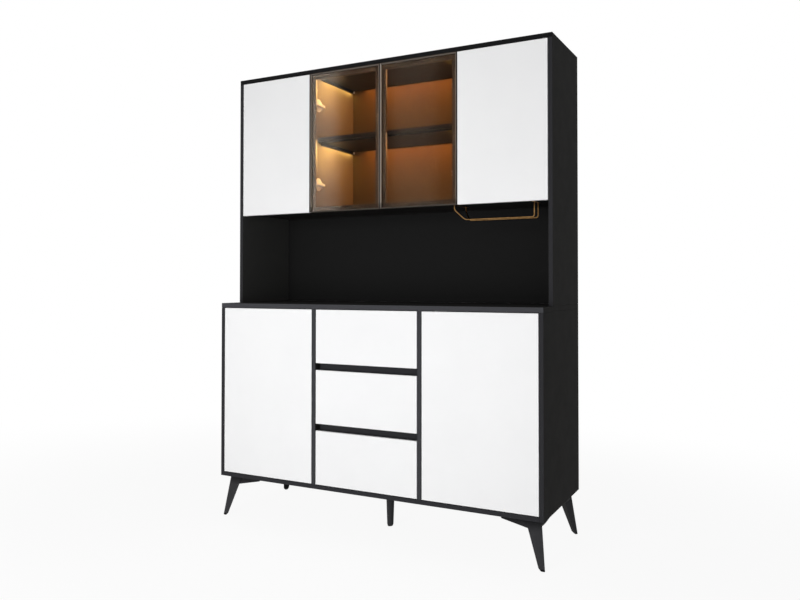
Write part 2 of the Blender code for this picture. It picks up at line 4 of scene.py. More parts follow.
import json
import logging
import math
from dataclasses import dataclass, field, replace
from enum import Enum
from functools import cache
from typing import Any, Callable, Iterable, Sequence, Union

import bmesh
import bpy
from mathutils import Matrix, Vector
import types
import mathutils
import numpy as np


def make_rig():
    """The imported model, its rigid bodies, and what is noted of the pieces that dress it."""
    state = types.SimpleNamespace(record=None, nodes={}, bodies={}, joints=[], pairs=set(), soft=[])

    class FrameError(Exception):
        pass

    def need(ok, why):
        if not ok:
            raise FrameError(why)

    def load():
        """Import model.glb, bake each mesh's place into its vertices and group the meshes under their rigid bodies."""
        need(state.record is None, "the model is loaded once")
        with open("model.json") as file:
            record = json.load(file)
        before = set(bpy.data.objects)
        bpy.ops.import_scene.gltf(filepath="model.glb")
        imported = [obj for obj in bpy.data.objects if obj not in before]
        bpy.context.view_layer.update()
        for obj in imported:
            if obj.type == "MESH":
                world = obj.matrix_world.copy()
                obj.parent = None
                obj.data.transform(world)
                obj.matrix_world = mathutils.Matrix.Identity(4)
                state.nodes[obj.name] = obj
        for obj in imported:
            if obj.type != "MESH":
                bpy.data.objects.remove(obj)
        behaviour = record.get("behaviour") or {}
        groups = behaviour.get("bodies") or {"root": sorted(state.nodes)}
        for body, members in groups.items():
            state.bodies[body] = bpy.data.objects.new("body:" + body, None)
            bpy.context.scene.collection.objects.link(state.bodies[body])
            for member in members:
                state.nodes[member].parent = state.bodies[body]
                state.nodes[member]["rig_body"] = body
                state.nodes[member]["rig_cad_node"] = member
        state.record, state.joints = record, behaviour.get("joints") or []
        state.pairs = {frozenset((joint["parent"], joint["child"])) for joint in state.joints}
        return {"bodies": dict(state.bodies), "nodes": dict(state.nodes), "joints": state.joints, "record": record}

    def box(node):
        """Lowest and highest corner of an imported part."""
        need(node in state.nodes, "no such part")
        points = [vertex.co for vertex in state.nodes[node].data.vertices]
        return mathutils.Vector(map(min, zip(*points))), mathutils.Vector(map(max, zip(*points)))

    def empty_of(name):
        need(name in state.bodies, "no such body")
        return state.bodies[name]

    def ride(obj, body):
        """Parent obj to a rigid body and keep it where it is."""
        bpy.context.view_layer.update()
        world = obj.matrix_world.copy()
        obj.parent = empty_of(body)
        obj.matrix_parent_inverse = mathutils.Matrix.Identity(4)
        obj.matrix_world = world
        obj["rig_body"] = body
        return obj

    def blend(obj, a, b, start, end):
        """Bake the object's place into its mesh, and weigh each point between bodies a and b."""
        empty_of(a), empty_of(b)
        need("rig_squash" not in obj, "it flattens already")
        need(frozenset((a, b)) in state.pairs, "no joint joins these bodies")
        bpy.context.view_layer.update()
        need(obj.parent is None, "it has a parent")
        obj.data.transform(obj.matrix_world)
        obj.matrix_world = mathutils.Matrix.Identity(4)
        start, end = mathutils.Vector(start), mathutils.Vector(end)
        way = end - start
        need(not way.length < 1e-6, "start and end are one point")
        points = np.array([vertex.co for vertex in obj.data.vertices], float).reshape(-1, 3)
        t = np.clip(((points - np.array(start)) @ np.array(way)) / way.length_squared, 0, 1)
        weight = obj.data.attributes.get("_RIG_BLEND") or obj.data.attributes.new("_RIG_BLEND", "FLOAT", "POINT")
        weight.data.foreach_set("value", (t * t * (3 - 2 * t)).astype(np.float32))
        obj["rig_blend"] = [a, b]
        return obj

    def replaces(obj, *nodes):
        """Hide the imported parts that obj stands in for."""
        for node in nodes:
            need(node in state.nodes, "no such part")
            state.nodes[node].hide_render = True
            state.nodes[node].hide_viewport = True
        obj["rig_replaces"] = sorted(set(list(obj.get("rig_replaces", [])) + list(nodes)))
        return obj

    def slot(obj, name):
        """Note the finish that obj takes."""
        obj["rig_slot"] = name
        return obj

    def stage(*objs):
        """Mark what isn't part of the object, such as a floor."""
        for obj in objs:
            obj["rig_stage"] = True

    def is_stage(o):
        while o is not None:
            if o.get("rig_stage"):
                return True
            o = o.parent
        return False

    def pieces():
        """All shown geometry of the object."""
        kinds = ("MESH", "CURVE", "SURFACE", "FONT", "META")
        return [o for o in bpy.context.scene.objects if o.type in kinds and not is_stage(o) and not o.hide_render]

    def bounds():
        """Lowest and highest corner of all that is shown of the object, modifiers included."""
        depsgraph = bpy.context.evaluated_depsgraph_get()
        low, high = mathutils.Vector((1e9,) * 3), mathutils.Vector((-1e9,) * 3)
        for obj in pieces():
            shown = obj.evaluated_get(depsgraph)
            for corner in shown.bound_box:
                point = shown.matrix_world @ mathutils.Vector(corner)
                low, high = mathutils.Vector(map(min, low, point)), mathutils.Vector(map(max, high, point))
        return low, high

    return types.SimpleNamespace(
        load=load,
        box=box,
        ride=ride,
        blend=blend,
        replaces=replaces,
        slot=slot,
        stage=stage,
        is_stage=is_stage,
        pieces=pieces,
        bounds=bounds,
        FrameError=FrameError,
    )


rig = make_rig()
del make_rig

LOG = logging.getLogger("china_cabinet")

Colour = tuple[float, float, float]
Point = tuple[float, float, float]
Placer = Callable[[float, float, float], Point]
Solid = bmesh.types.BMesh
Operand = Union["Term", float]
Span = tuple[float, float]

# From where to where a part of the normal counts as facing along its axis.
FACING: Span = (0.5, 0.9)
# From where to where noise turns one mottled colour into the other.
MOTTLED: Span = (0.3, 0.7)
# The fold in degrees above which an edge stays sharp.
FOLD = 35.0
# Radius and height of screw heads.
LARGE_SCREW: Span = (0.0042, 0.0022)
CUP_SCREW: Span = (0.0036, 0.0018)
BOX_SCREW: Span = (0.0036, 0.0016)
ARM_SCREW: Span = (0.0034, 0.0019)
SMALL_SCREW: Span = (0.0030, 0.0016)


class Side(Enum):
    """The two halves of the cabinet; the value is the sign of X that points to the middle."""

    LEFT = 1
    RIGHT = -1

    @property
    def word(self) -> str:
        """The side as it stands in a piece's name."""
        return self.name.lower()

    def outer(self, low: Sequence[float], high: Sequence[float]) -> float:
        """The X of a box's edge away from the middle."""
        return low[0] if self is Side.LEFT else high[0]

    def inner(self, low: Sequence[float], high: Sequence[float]) -> float:
        """The X of a box's edge towards the middle."""
        return high[0] if self is Side.LEFT else low[0]


class Pattern(Enum):
    """How the fine relief of a finish runs."""

    GRAIN = "grain"
    PEEL = "peel"
    BRUSHED_X = "brushed_x"
    BRUSHED_Y = "brushed_y"
    BRUSHED_Z = "brushed_z"
    LINEN = "linen"


class Term:
    """A number that varies over a surface; arithmetic on it adds Math nodes."""

    def __init__(self, tree: "Tree", socket: bpy.types.NodeSocket) -> None:
        """Keeps the socket and the tree that it belongs to."""
        self.tree = tree
        self.socket = socket

    def _join(self, operation: str, first: Operand, second: Operand) -> "Term":
        """Adds one Math node.

        Args:
            operation: The Math node's operation.
            first: The left operand.
            second: The right operand.

        Returns:
            The result as a new term.
        """
        made = self.tree.node("ShaderNodeMath", {"operation": operation}, {0: first, 1: second})
        return Term(self.tree, made.outputs[0])

    def __add__(self, other: Operand) -> "Term":
        """Sum."""
        return self._join("ADD", self, other)

    def __radd__(self, other: Operand) -> "Term":
        """Sum with a plain number in front."""
        return self._join("ADD", other, self)

    def __sub__(self, other: Operand) -> "Term":
        """Difference."""
        return self._join("SUBTRACT", self, other)

    def __rsub__(self, other: Operand) -> "Term":
        """Difference from a plain number."""
        return self._join("SUBTRACT", other, self)

    def __mul__(self, other: Operand) -> "Term":
        """Product."""
        return self._join("MULTIPLY", self, other)

    def __rmul__(self, other: Operand) -> "Term":
        """Product with a plain number in front."""
        return self._join("MULTIPLY", other, self)

    def __abs__(self) -> "Term":
        """Size without its sign."""
        return self._join("ABSOLUTE", self, 0.0)

    def ramp(self, low: float, high: float) -> "Term":
        """Rises smoothly from 0 at low to 1 at high."""
        sockets = {"Value": self, "From Min": low, "From Max": high}
        made = self.tree.node("ShaderNodeMapRange", {"interpolation_type": "SMOOTHSTEP"}, sockets)
        return Term(self.tree, made.outputs[0])


class Tree:
    """A node tree that is built node by node."""

    def __init__(self, tree: bpy.types.NodeTree) -> None:
        """Empties the tree and keeps it."""
        self.tree = tree
        self.tree.nodes.clear()

    def node(
        self, kind: str, settings: dict[str, Any] | None = None, sockets: dict[Any, Any] | None = None
    ) -> bpy.types.Node:
        """Adds a node.

        Args:
            kind: The node's type.
            settings: Properties, set before the sockets.
            sockets: Values, terms or sockets for its inputs, by name or number; a list fills a multi-input.

        Returns:
            The new node.
        """
        made = self.tree.nodes.new(kind)
        for key, value in (settings or {}).items():
            setattr(made, key, value)
        for key, values in (sockets or {}).items():
            target = made.inputs[key]
            for value in values if isinstance(values, list) else [values]:
                source = value.socket if isinstance(value, Term) else value
                if isinstance(source, bpy.types.NodeSocket):
                    self.tree.links.new(source, target)
                else:
                    target.default_value = source
        return made

    def seen(self) -> "Term":
        """1 for what the camera sees, straight, mirrored or through glass, and 0 for light on the object."""
        ray = self.node("ShaderNodeLightPath")
        kinds = ("Is Camera Ray", "Is Glossy Ray", "Is Transmission Ray")
        straight, mirrored, through = (Term(self, ray.outputs[kind]) for kind in kinds)
        return (straight + mirrored + through).ramp(0.0, 1.0)


class Shade(Tree):
    """Builds one material's node tree."""

    def __init__(self, name: str) -> None:
        """Starts an empty material of that name."""
        self.material = bpy.data.materials.new(name)
        self.material.use_nodes = True
        super().__init__(self.material.node_tree)

    def place(self, stretch: Point = (1.0, 1.0, 1.0)) -> bpy.types.NodeSocket:
        """Object coordinates, stretched along the axes."""
        coordinates = self.node("ShaderNodeTexCoord")
        sockets = {"Vector": coordinates.outputs["Object"], "Scale": stretch}
        return self.node("ShaderNodeMapping", None, sockets).outputs[0]

    def noise(self, scale: float, detail: float = 3.0, stretch: Point = (1.0, 1.0, 1.0)) -> Term:
        """Smooth noise about 0.5.

        Args:
            scale: Waves to a metre.
            detail: Finer layers on top.
            stretch: Factors on the three coordinates.

        Returns:
            The noise as a term.
        """
        sockets = {"Vector": self.place(stretch), "Scale": scale, "Detail": detail, "Roughness": 0.55}
        return Term(self, self.node("ShaderNodeTexNoise", None, sockets).outputs[0])

    def parts(self, output: str) -> dict[str, Term]:
        """The X, Y and Z of a texture coordinate.

        Args:
            output: Which coordinate, such as Object or Normal.

        Returns:
            The three parts by axis.
        """
        source = self.node("ShaderNodeTexCoord").outputs[output]
        split = self.node("ShaderNodeSeparateXYZ", None, {0: source})
        return {axis: Term(self, split.outputs[axis]) for axis in "XYZ"}

    def mix(self, factor: Term, first: Any, second: Any) -> bpy.types.NodeSocket:
        """Mixes two colours.

        Args:
            factor: 0 gives the first colour and 1 the second.
            first: A colour or a socket.
            second: A colour or a socket.

        Returns:
            The mixed colour's socket.
        """
        first = (*first, 1.0) if isinstance(first, tuple) else first
        second = (*second, 1.0) if isinstance(second, tuple) else second
        return self.node("ShaderNodeMix", {"data_type": "RGBA"}, {0: factor, 6: first, 7: second}).outputs[2]

    def relief(self, height: Term, strength: float, distance: float) -> bpy.types.NodeSocket:
        """A bump from a height."""
        sockets = {"Height": height, "Strength": strength, "Distance": distance}
        return self.node("ShaderNodeBump", None, sockets).outputs[0]

    def finish(self, sockets: dict[str, Any]) -> bpy.types.Material:
        """Ends the tree in a Principled shader.

        Args:
            sockets: Values or links of the shader's inputs.

        Returns:
            The finished material.
        """
        surface = self.node("ShaderNodeBsdfPrincipled", None, sockets)
        self.node("ShaderNodeOutputMaterial", None, {"Surface": surface.outputs[0]})
        return self.material


@dataclass(frozen=True)
class Finish:
    """A surface with mottled colour, uneven gloss and a fine relief."""

    name: str
    colour: Colour
    second: Colour
    roughness: float
    spread: float = 0.08
    metallic: float = 0.0
    specular: float = 0.5
    coat: float = 0.0
    pattern: Pattern = Pattern.GRAIN
    scale: float = 700.0
    mottle: float = 9.0
    strength: float = 0.15
    distance: float = 0.0002
    slot: str = ""
    thread: float = 0.04
    stroke: float = 0.02
    patchy: float = 0.65
    worn: float = 0.6

    def height(self, shade: Shade) -> Term:
        """The fine relief of the finish.

        Args:
            shade: The tree to add its nodes to.

        Returns:
            The height, about 0.5.
        """
        if self.pattern is Pattern.LINEN:
            warp = shade.noise(self.scale, 1.0, (1.0, 1.0, self.thread))
            weft = shade.noise(self.scale, 1.0, (self.thread, self.thread, 1.0))
            return 0.5 * warp + 0.5 * weft
        along = {
            Pattern.BRUSHED_X: (self.stroke, 1.0, 1.0),
            Pattern.BRUSHED_Y: (1.0, self.stroke, 1.0),
            Pattern.BRUSHED_Z: (1.0, 1.0, self.stroke),
        }
        detail = 1.0 if self.pattern is Pattern.PEEL else 4.0
        return shade.noise(self.scale, detail, along.get(self.pattern, (1.0, 1.0, 1.0)))

    def base(self, shade: Shade, fine: Term) -> bpy.types.NodeSocket:
        """The mottled base colour.

        Args:
            shade: The tree to add its nodes to.
            fine: The fine relief, which tints the colour a little.

        Returns:
            The colour's socket.
        """
        patches = shade.noise(self.mottle, 4.0)
        factor = (self.patchy * patches + (1.0 - self.patchy) * fine).ramp(*MOTTLED)
        return shade.mix(factor, self.colour, self.second)

    def sockets(self, shade: Shade) -> dict[str, Any]:
        """The Principled shader's inputs.

        Args:
            shade: The tree to add nodes to.

        Returns:
            Values and links by socket name.
        """
        fine = self.height(shade)
        wear = shade.noise(self.mottle * 3.0, 3.0)
        gloss = self.roughness + self.spread * (self.worn * wear + (1.0 - self.worn) * fine - 0.5)
        return {
            "Base Color": self.base(shade, fine),
            "Roughness": gloss,
            "Metallic": self.metallic,
            "Specular IOR Level": self.specular,
            "Coat Weight": self.coat,
            "Normal": shade.relief(fine, self.strength, self.distance),
        }

    @cache
    def material(self) -> bpy.types.Material:
        """The finish as a material, made on its first use."""
        shade = Shade(self.name)
        return shade.finish(self.sockets(shade))


@dataclass(frozen=True)
class BoardFinish(Finish):
    """Foil on board, with an edge band of a slightly different colour on the front edges."""

    band: Colour = (0.05, 0.05, 0.05)
    edge: Span = (0.55, 0.9)

    def base(self, shade: Shade, fine: Term) -> bpy.types.NodeSocket:
        """The face's colour, with the band's on surfaces that face the front.

        Args:
            shade: The tree to add its nodes to.
            fine: The fine relief.

        Returns:
            The colour's socket.
        """
        face = super().base(shade, fine)
        return shade.mix(abs(shade.parts("Normal")["Y"]).ramp(*self.edge), face, self.band)


@dataclass(frozen=True)
class LinedFinish(BoardFinish):
    """Foil on board, with painted light on what faces into a compartment: a lighter colour that stands in for the
    lamps' light and sheen on the inner faces.
    """

    # Painted light: a lighter colour for the faces inside a compartment.
    lining: Colour = (0.10, 0.068, 0.042)
    faces_front: float = 1.0
    half_width: float = 0.385
    sill: float = 1.403
    border: float = 0.001
    deep: float = 0.8

    def base(self, shade: Shade, fine: Term) -> bpy.types.NodeSocket:
        """The foil's colour outside the compartment and the painted light colour inside it.

        Args:
            shade: The tree to add its nodes to.
            fine: The fine relief.

        Returns:
            The colour's socket.
        """
        spot, facing = shade.parts("Object"), shade.parts("Normal")
        above = spot["Z"].ramp(self.sill - self.border, self.sill + self.border)
        between = 1.0 - abs(spot["X"]).ramp(self.half_width, self.half_width + self.border)
        sideways = (spot["X"] * facing["X"] * -1.0).ramp(0.1, 0.2)
        frontward = (facing["Y"] * -1.0).ramp(*FACING) * self.faces_front
        inward = sideways + frontward + (facing["Z"] * -1.0).ramp(*FACING)
        # The painted light colour, mottled.
        inner_light = shade.mix(fine.ramp(*MOTTLED), self.lining, tuple(self.deep * part for part in self.lining))
        return shade.mix(above * between * inward, super().base(shade, fine), inner_light)


@dataclass(frozen=True)
class SealedFinish(Finish):
    """Lacquer on board, with painted shade along the edge that meets the next front, where the gap lies in shade."""

    # The painted shade colour for the edge in the gap.
    seal: Colour = (0.010, 0.010, 0.010)
    reach: float = 0.45
    border: float = 0.01
    edge: Span = (0.80, 0.95)

    def base(self, shade: Shade, fine: Term) -> bpy.types.NodeSocket:
        """The lacquer's colour, with painted shade on the side edges near the cabinet's middle.

        Args:
            shade: The tree to add its nodes to.
            fine: The fine relief.

        Returns:
            The colour's socket.
        """
        spot, facing = shade.parts("Object"), shade.parts("Normal")
        central = 1.0 - abs(spot["X"]).ramp(self.reach, self.reach + self.border)
        edge = central * abs(facing["X"]).ramp(*self.edge)
        # Painted shade on the side faces near the middle.
        return shade.mix(edge, super().base(shade, fine), self.seal)


@dataclass(frozen=True)
class FrameFinish(Finish):
    """Brushed metal with a dark gasket behind the pane, painted shade on the outer edges and a painted highlight on
    the meeting edge.

    The inner side edges carry a painted highlight in front of the pane; behind it they carry painted lamp light near
    the lights that gives way to a darker colour further from them, and the lowest part of the bottom rail gets painted
    shade.
    """

    gasket: Colour = (0.02, 0.02, 0.02)
    # The painted shade colour of the outer edges, the meeting gap and the bottom.
    seal: Colour = (0.010, 0.009, 0.008)
    # Painted highlight on the front of the meeting edge.
    polish: Colour = (0.30, 0.26, 0.225)
    # Painted highlight on the inner side edges in front of the pane.
    lip: Colour = (0.60, 0.53, 0.45)
    # Painted lamp light on the inner side edges behind the pane, near the lights.
    bare: Colour = (0.75, 0.66, 0.52)
    # The darker colour of those edges further from the lights, where the painted lamp light gives way.
    stained: Colour = (0.17, 0.135, 0.10)
    depth: float = -0.094
    seam: Span = (0.001, 0.002)
    inner: float = 0.0065
    outer: float = 0.3735
    border: float = 0.0003
    lights: Span = (1.714, 1.9895)
    fade: float = 0.16
    sill: float = 1.412
    # How far the lowest part of the frame is darkened towards the painted shade colour.
    soil: float = 0.55

    def base(self, shade: Shade, fine: Term) -> bpy.types.NodeSocket:
        """The metal's colour, with the gasket and with the painted highlights, painted lamp light and painted shade on
        its edges.

        Args:
            shade: The tree to add its nodes to.
            fine: The fine relief.

        Returns:
            The colour's socket.
        """
        spot, facing = shade.parts("Object"), shade.parts("Normal")
        frontward = (facing["Y"] * -1.0).ramp(*FACING)
        behind = spot["Y"].ramp(self.depth, self.depth + 0.0005)
        inner, outer = ((edge, edge + self.border) for edge in (self.inner, self.outer))
        meeting = spot["X"].ramp(*self.seam) - spot["X"].ramp(*inner)
        within = abs(spot["X"]).ramp(*inner) - abs(spot["X"]).ramp(*outer)
        sideways = abs(facing["X"]).ramp(*FACING)
        lower, upper = self.lights
        # Painted pool of lamp light: 1 near the lights, fading away from them.
        near = spot["Z"].ramp(upper - self.fade, upper)
        near = near + spot["Z"].ramp(lower - self.fade, lower) - spot["Z"].ramp(lower, lower + 0.002)
        # Painted highlight on the meeting edge.
        metal = shade.mix(meeting * frontward, super().base(shade, fine), self.polish)
        metal = shade.mix(behind * frontward, metal, self.gasket)
        # Side edges: painted highlight in front of the pane, painted lamp light and its darker fall-off behind it.
        cut = shade.mix(behind, self.lip, shade.mix(near, self.stained, self.bare))
        # Side faces at the outer edges and in the meeting gap get painted shade.
        metal = shade.mix(sideways, metal, shade.mix(within, self.seal, cut))
        # Painted shade on the lowest part of the bottom rail.
        low_shaded = self.soil - self.soil * spot["Z"].ramp(self.sill - 0.003, self.sill)
        return shade.mix(low_shaded, metal, self.seal)


@dataclass(frozen=True)
class LegFinish(Finish):
    """Powder coat with painted shade up under the base and on the inner facets, and a dark glide on the sole."""

    # The dark colour: painted shade under the base and on the inner facets, and the glide's own colour on the sole.
    primer: Colour = (0.004, 0.004, 0.0045)
    # Heights over which the painted shade under the base sets in.
    crown: Span = (0.130, 0.172)
    # How far the painted shade under the base darkens the coat.
    thin: float = 0.75
    sole: float = 0.009

    def base(self, shade: Shade, fine: Term) -> bpy.types.NodeSocket:
        """The coat's colour, with painted shade under the base and on the inner facets, and the glide's dark colour on
        the sole.

        Args:
            shade: The tree to add its nodes to.
            fine: The fine relief.

        Returns:
            The colour's socket.
        """
        spot, facing = shade.parts("Object"), shade.parts("Normal")
        # Painted shade up under the base.
        clear_of_shade = 1.0 - self.thin * spot["Z"].ramp(*self.crown)
        # Painted shade on the facets that face the middle.
        outward = 1.0 - (spot["X"] * facing["X"] * -1.0).ramp(0.1, 0.3)
        # The dark glide on the sole, its own colour.
        above_sole = spot["Z"].ramp(self.sole - 0.002, self.sole)
        return shade.mix(clear_of_shade * outward * above_sole, self.primer, super().base(shade, fine))


@dataclass(frozen=True)
class GlassFinish:
    """Clear tinted glass with faint unevenness under a soft, weak shine."""

    name: str
    tint: Colour
    shine_index: float
    shine_roughness: float
    swell: float = 6.0
    deep: float = 0.93

    @cache
    def material(self) -> bpy.types.Material:
        """The glass as a material, made on its first use."""
        shade = Shade(self.name)
        waves = shade.noise(self.swell, 2.0)
        deep = tuple(self.deep * part for part in self.tint)
        return shade.finish({
            "Base Color": shade.mix(waves.ramp(*MOTTLED), self.tint, deep),
            "Roughness": 0.0,
            "IOR": 1.0,
            "Transmission Weight": 1.0,
            "Coat Weight": 1.0,
            "Coat Roughness": self.shine_roughness,
            "Coat IOR": self.shine_index,
        })


@dataclass(frozen=True)
class GlowFinish:
    """A frosted diffuser lit from within, with the soft beat of the lamps behind it."""

    name: str
    colour: Colour
    glow: Colour
    strength: float
    slot: str
    pitch: float = 60.0
    dim: float = 0.82

    @cache
    def material(self) -> bpy.types.Material:
        """The diffuser as a material, made on its first use."""
        shade = Shade(self.name)
        beat = shade.noise(self.pitch, 1.0, (1.0, 0.1, 0.1)).ramp(0.2, 0.8)
        dim = tuple(self.dim * part for part in self.glow)
        return shade.finish({
            "Base Color": (*self.colour, 1.0),
            "Roughness": 0.5 + 0.1 * beat,
            "Emission Color": shade.mix(beat, dim, self.glow),
            "Emission Strength": self.strength,
        })


BLACK_BOARD = BoardFinish(
    "black_foil", (0.015, 0.0147, 0.0142), (0.020, 0.0196, 0.019), 0.62, 0.10, specular=0.02,
    scale=1500.0, mottle=14.0, strength=0.05, band=(0.030, 0.030, 0.033),
)
DIVIDING_BOARD = replace(BLACK_BOARD, name="dividing_foil", band=(0.046, 0.0465, 0.051))
WORKTOP_BOARD = replace(BLACK_BOARD, name="worktop_foil", band=(0.055, 0.0555, 0.061))
# Divider walls with a painted sheen of the warm lamps inside the glazed compartment.
DIVIDER_BOARD = LinedFinish(
    **vars(replace(BLACK_BOARD, name="divider_foil", band=(0.05, 0.05, 0.05))), lining=(0.160, 0.118, 0.075),
)
# Hutch sides with painted light on their inner faces, which lifts the niche's side walls.
HUTCH_SIDE_BOARD = replace(
    DIVIDER_BOARD, name="hutch_side_foil", band=BLACK_BOARD.band, lining=(0.048, 0.048, 0.0465),
    faces_front=0.0, half_width=0.79, sill=0.97,
)
# Top and shelf undersides with a painted warm reflection inside the glazed compartment.
TOP_BOARD = replace(
    DIVIDER_BOARD, name="top_foil", band=(0.010, 0.010, 0.0105), lining=(0.070, 0.056, 0.043),
    faces_front=0.0,
)
SHELF_BOARD = replace(TOP_BOARD, name="shelf_foil", band=(0.022, 0.020, 0.019))
# Backs with painted warm lamp light inside the glazed compartment.
BACK_BOARD = LinedFinish(
    "back_foil", (0.010, 0.010, 0.010), (0.014, 0.014, 0.014), 0.62, 0.10, specular=0.04,
    scale=900.0, mottle=20.0, strength=0.1, band=(0.012, 0.012, 0.012), lining=(0.084, 0.0545, 0.0225),
)
WHITE_FRONT = Finish(
    "white_lacquer", (0.86, 0.862, 0.868), (0.885, 0.886, 0.89), 0.30, 0.06, specular=0.4, coat=0.15,
    pattern=Pattern.PEEL, scale=320.0, mottle=3.0, strength=0.03, distance=0.0001,
)
# White lacquer with painted shade on the edges that face the gaps near the middle.
WHITE_DOOR = SealedFinish(**vars(replace(WHITE_FRONT, name="white_door_lacquer")))
DRAWER_BOARD = Finish(
    "drawer_linen", (0.36, 0.355, 0.35), (0.46, 0.45, 0.44), 0.55, 0.12, specular=0.3,
    pattern=Pattern.LINEN, scale=900.0, mottle=30.0, strength=0.25, slot="drawer_board",
)
# Powder coat with painted shade up under the base and on the inner facets.
LEG_METAL = LegFinish(
    "powder_coat", (0.033, 0.033, 0.0355), (0.041, 0.041, 0.044), 0.50, 0.10, specular=0.05,
    scale=2200.0, mottle=25.0, strength=0.3, slot="leg_metal",
)
# Brushed frame metal with painted highlights, painted lamp light and painted shade on its edges.
FRAME_METAL = FrameFinish(
    "brushed_frame", (0.122, 0.102, 0.086), (0.136, 0.114, 0.097), 0.42, 0.10, metallic=0.35, specular=0.15,
    pattern=Pattern.BRUSHED_Z, scale=2600.0, mottle=8.0, strength=0.05, distance=0.0001,
    gasket=(0.048, 0.037, 0.030),
)
AGED_BRASS = Finish(
    "aged_brass_wire", (0.48, 0.275, 0.11), (0.26, 0.14, 0.05), 0.30, 0.25, metallic=1.0,
    pattern=Pattern.BRUSHED_X, scale=1800.0, mottle=55.0, strength=0.1, distance=0.0001, slot="aged_brass",
)
HINGE_STEEL = Finish(
    "nickel_plate", (0.94, 0.93, 0.92), (0.87, 0.86, 0.86), 0.40, 0.16, metallic=0.2,
    pattern=Pattern.BRUSHED_Y, scale=2400.0, mottle=60.0, strength=0.06, distance=0.0001, slot="hinge_steel",
)
SLIDE_STEEL = Finish(
    "zinc_plate", (0.56, 0.565, 0.58), (0.46, 0.465, 0.48), 0.34, 0.2, metallic=1.0,
    pattern=Pattern.BRUSHED_Y, scale=1500.0, mottle=40.0, strength=0.08, distance=0.0001, slot="slide_steel",
)
DARK_PLASTIC = Finish(
    "dark_plastic", (0.022, 0.022, 0.022), (0.034, 0.034, 0.034), 0.5, 0.15, specular=0.4,
    scale=1800.0, mottle=60.0, strength=0.2, slot="leg_metal",
)
PALE_PLASTIC = Finish(
    "pale_plastic", (0.62, 0.62, 0.60), (0.70, 0.70, 0.68), 0.45, 0.12, specular=0.4,
    scale=1600.0, mottle=50.0, strength=0.1, slot="drawer_board",
)
BRONZE_GLASS = GlassFinish("bronze_pane", (0.64, 0.56, 0.48), 1.06, 0.08)
WARM_LIGHT = GlowFinish("warm_diffuser", (0.9, 0.82, 0.66), (1.0, 0.70, 0.32), 2.0, "warm_light")


def new_solid(faces: Iterable[Sequence[Point]]) -> Solid:
    """Joins faces given by their corners.

    Args:
        faces: Corner points of each face.

    Returns:
        A closed mesh whose faces point outwards.
    """
    solid = bmesh.new()
    for corners in faces:
        solid.faces.new([solid.verts.new(corner) for corner in corners])
    bmesh.ops.remove_doubles(solid, verts=solid.verts, dist=1e-6)
    bmesh.ops.recalc_face_normals(solid, faces=solid.faces)
    return solid


def ease(solid: Solid, rounding: float, segments: int = 2, sharp: float = 20.0) -> Solid:
    """Rounds the edges that fold by more than an angle.

    Args:
        solid: The mesh to change.
        rounding: Width of the rounding.
        segments: Faces across it.
        sharp: Least fold in degrees.

    Returns:
        The same mesh.
    """
    edges = [e for e in solid.edges if e.calc_face_angle(0.0) > math.radians(sharp)]
    bmesh.ops.bevel(
        solid, geom=edges, offset=rounding, segments=segments, profile=0.5, affect="EDGES", clamp_overlap=True
    )
    return solid


def block(low: Sequence[float], high: Sequence[float], rounding: float = 0.0006) -> Solid:
    """A box between two corners, given in any order, with eased edges.

    Args:
        low: One corner.
        high: The corner across from it.
        rounding: Width of the eased edges.

    Returns:
        The box's mesh.
    """
    solid = bmesh.new()
    bmesh.ops.create_cube(solid, size=1.0)
    first, second = Vector(low), Vector(high)
    size = Vector(abs(b - a) for a, b in zip(first, second))
    bmesh.ops.scale(solid, verts=solid.verts, vec=size)
    bmesh.ops.translate(solid, verts=solid.verts, vec=(first + second) / 2)
    return ease(solid, rounding) if rounding else solid


def prism(
    outline: Sequence[Span], place: Placer, near: float, far: float, rounding: float = 0.0
) -> Solid:
    """Extrudes an outline.

    Args:
        outline: Corners (u, v) in order.
        place: Gives a point's position from u, v and the depth.
        near: Depth of the first face.
        far: Depth of the second face.
        rounding: Width of the eased edges.

    Returns:
        The closed mesh.
    """
    first = [place(u, v, near) for u, v in outline]
    second = [place(u, v, far) for u, v in outline]
    faces: list[Sequence[Point]] = [first, second]
    count = len(outline)
    faces += [(first[i], first[(i + 1) % count], second[(i + 1) % count], second[i]) for i in range(count)]
    solid = new_solid(faces)
    return ease(solid, rounding) if rounding else solid


def lofted(rows: Sequence[Sequence[Point]]) -> Solid:
    """A skin over rows of points.

    Args:
        rows: Closed rows with the same number of points; the first and the last are faces too.

    Returns:
        The closed mesh.
    """
    solid = bmesh.new()
    rings = [[solid.verts.new(point) for point in row] for row in rows]
    for before, after in zip(rings, rings[1:]):
        for i in range(len(before)):
            j = (i + 1) % len(before)
            solid.faces.new((before[i], before[j], after[j], after[i]))
    solid.faces.new(rings[0])
    solid.faces.new(rings[-1])
    bmesh.ops.recalc_face_normals(solid, faces=solid.faces)
    return solid


def round_angles(sides: int) -> list[float]:
    """The angles of corners spread evenly round an axis."""
    return [2 * math.pi * k / sides for k in range(sides)]


def turned(profile: Sequence[Span], place: Placer, sides: int) -> Solid:
    """A round body about an axis.

    Args:
        profile: Points (radius, height) from one end to the other.
        place: Gives a position from the two coordinates across the axis and the height.
        sides: Faces round the axis.

    Returns:
        The closed mesh.
    """
    return lofted([
        [place(radius * math.cos(a), radius * math.sin(a), height) for a in round_angles(sides)]
        for radius, height in profile])


